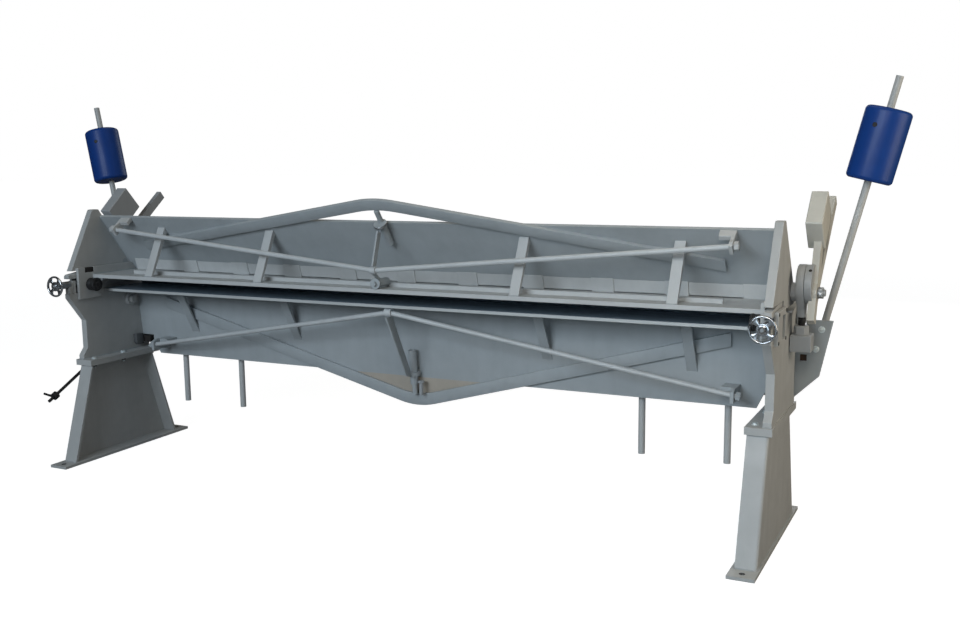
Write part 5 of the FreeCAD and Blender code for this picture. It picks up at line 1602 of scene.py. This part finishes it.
@dataclass(frozen=True)
class SoftBox:
    """A soft rectangular lamp that looks at a point."""

    name: str
    place: Point
    aim: Point
    size: tuple[float, float]
    power: float
    rgb: Point
    spread: float = 180.0

    def hang(self) -> None:
        """Hang the lamp and point it."""
        light = bpy.data.lights.new(self.name, "AREA")
        light.shape = "RECTANGLE"
        light.size, light.size_y = self.size
        light.energy = self.power
        light.color = self.rgb
        light.spread = math.radians(self.spread)
        lamp = bpy.data.objects.new(self.name, light)
        lamp.location = self.place
        lamp.rotation_euler = (Vector(self.aim) - Vector(self.place)).to_track_quat("-Z", "Y").to_euler()
        lamp.visible_camera = False
        bpy.context.scene.collection.objects.link(lamp)


SOFT_BOXES = (
    SoftBox("warm_window", (3.3, 0.1, 1.3), (1.5, 0.0, 0.8), (1.0, 1.4), 16, (1.0, 0.90, 0.73)),
    SoftBox("cool_window", (-0.6, -6.0, 3.0), (0.0, 0.0, 0.7), (3.4, 2.2), 222, (0.78, 0.90, 1.0)),
    SoftBox("rear_fill", (1.8, -2.6, 0.9), (1.6, 0.0, 0.6), (0.9, 0.9), 1.6, (0.70, 0.88, 1.0), 90.0),
    SoftBox("rear_high", (2.0, -2.2, 2.2), (1.6, 0.0, 0.7), (0.9, 0.9), 5.2, (1.0, 0.93, 0.82), 100.0),
    SoftBox("front_fill", (0.2, 6.2, 2.5), (0.0, 0.0, 0.8), (3.4, 2.2), 52, (0.86, 0.93, 1.0)),
    SoftBox("top_light", (0.6, 0.4, 4.6), (0.4, 0.0, 0.8), (4.0, 2.4), 28, (1.0, 0.90, 0.70)),
)


@dataclass
class Scenery:
    """Floor, lights, world and camera."""

    palette: Palette
    camera_at: Point = (2.2145, -3.672, 1.364)
    yaw: float = 26.285
    pitch: float = 8.784
    roll: float = -0.621
    focal_pixels: float = 1056.03
    frame_pixels: float = 960.0
    sensor: float = 36.0
    floor_half: float = 60.0
    ambient: float = 0.06

    def build(self) -> None:
        """Set the whole stage."""
        self.floor()
        for box in SOFT_BOXES:
            box.hang()
        self.world()
        self.camera()
        bpy.context.scene.view_settings.view_transform = "Standard"
        bpy.context.scene.view_settings.look = "None"

    def floor(self) -> None:
        """Lay the floor, half a millimetre under the stands."""
        mesh = bmesh.new()
        bmesh.ops.create_grid(mesh, x_segments=2, y_segments=2, size=self.floor_half)
        data = bpy.data.meshes.new("studio_floor")
        mesh.to_mesh(data)
        mesh.free()
        data.materials.append(self.palette.floor)
        floor = bpy.data.objects.new("studio_floor", data)
        floor.location.z = -0.5 * MM
        bpy.context.scene.collection.objects.link(floor)

    def world(self) -> None:
        """Set a white background over a faint pale surround."""
        world = bpy.data.worlds.new("studio")
        world.use_nodes = True
        graph = Graph(world.node_tree)
        seen = graph.tree.nodes["Background"]
        around = graph.add("Background")
        for node, rgb, strength in ((seen, (1.0, 1.0, 1.0), 1.0), (around, (0.88, 0.94, 1.0), self.ambient)):
            node.inputs["Color"].default_value = (*rgb, 1.0)
            node.inputs["Strength"].default_value = strength
        mix = graph.add("MixShader")
        graph.feed(graph.add("LightPath").outputs["Is Camera Ray"], mix.inputs["Fac"])
        graph.feed(around.outputs["Background"], mix.inputs[1])
        graph.feed(seen.outputs["Background"], mix.inputs[2])
        graph.feed(mix.outputs["Shader"], graph.tree.nodes["World Output"].inputs["Surface"])
        bpy.context.scene.world = world

    def camera(self) -> None:
        """Set the camera at the photograph's viewpoint."""
        data = bpy.data.cameras.new("photo_view")
        data.sensor_width = self.sensor
        data.lens = self.sensor * self.focal_pixels / self.frame_pixels
        data.clip_end = 200.0
        data.dof.use_dof = False
        camera = bpy.data.objects.new("photo_view", data)
        yaw, pitch, roll = (math.radians(a) for a in (self.yaw, self.pitch, self.roll))
        turn = Euler((math.pi / 2 - pitch, 0, yaw), "XYZ").to_matrix() @ Matrix.Rotation(roll, 3, "Z")
        camera.matrix_world = Matrix.Translation(Vector(self.camera_at)) @ turn.to_4x4()
        bpy.context.scene.collection.objects.link(camera)
        bpy.context.scene.camera = camera


def main() -> None:
    """Dress the whole machine and set the stage."""
    logging.basicConfig(level=logging.INFO, format="%(message)s")
    palette = Palette()
    bench = Bench()
    CadNodes(palette).dress()
    Bows(bench, palette).build()
    for side in Side:
        for kind in (Handwheel, Counterweight, CounterweightRod, ShaftEnd, Link, SlideDetails):
            kind(bench, palette, side).build()
    for kind in (FloorFixings, TieRodThreads, Welds):
        kind(bench, palette).build()
    Scenery(palette).build()
    for name in bench.made:
        LOG.info("made %s", name)


if __name__ == "__main__":
    main()
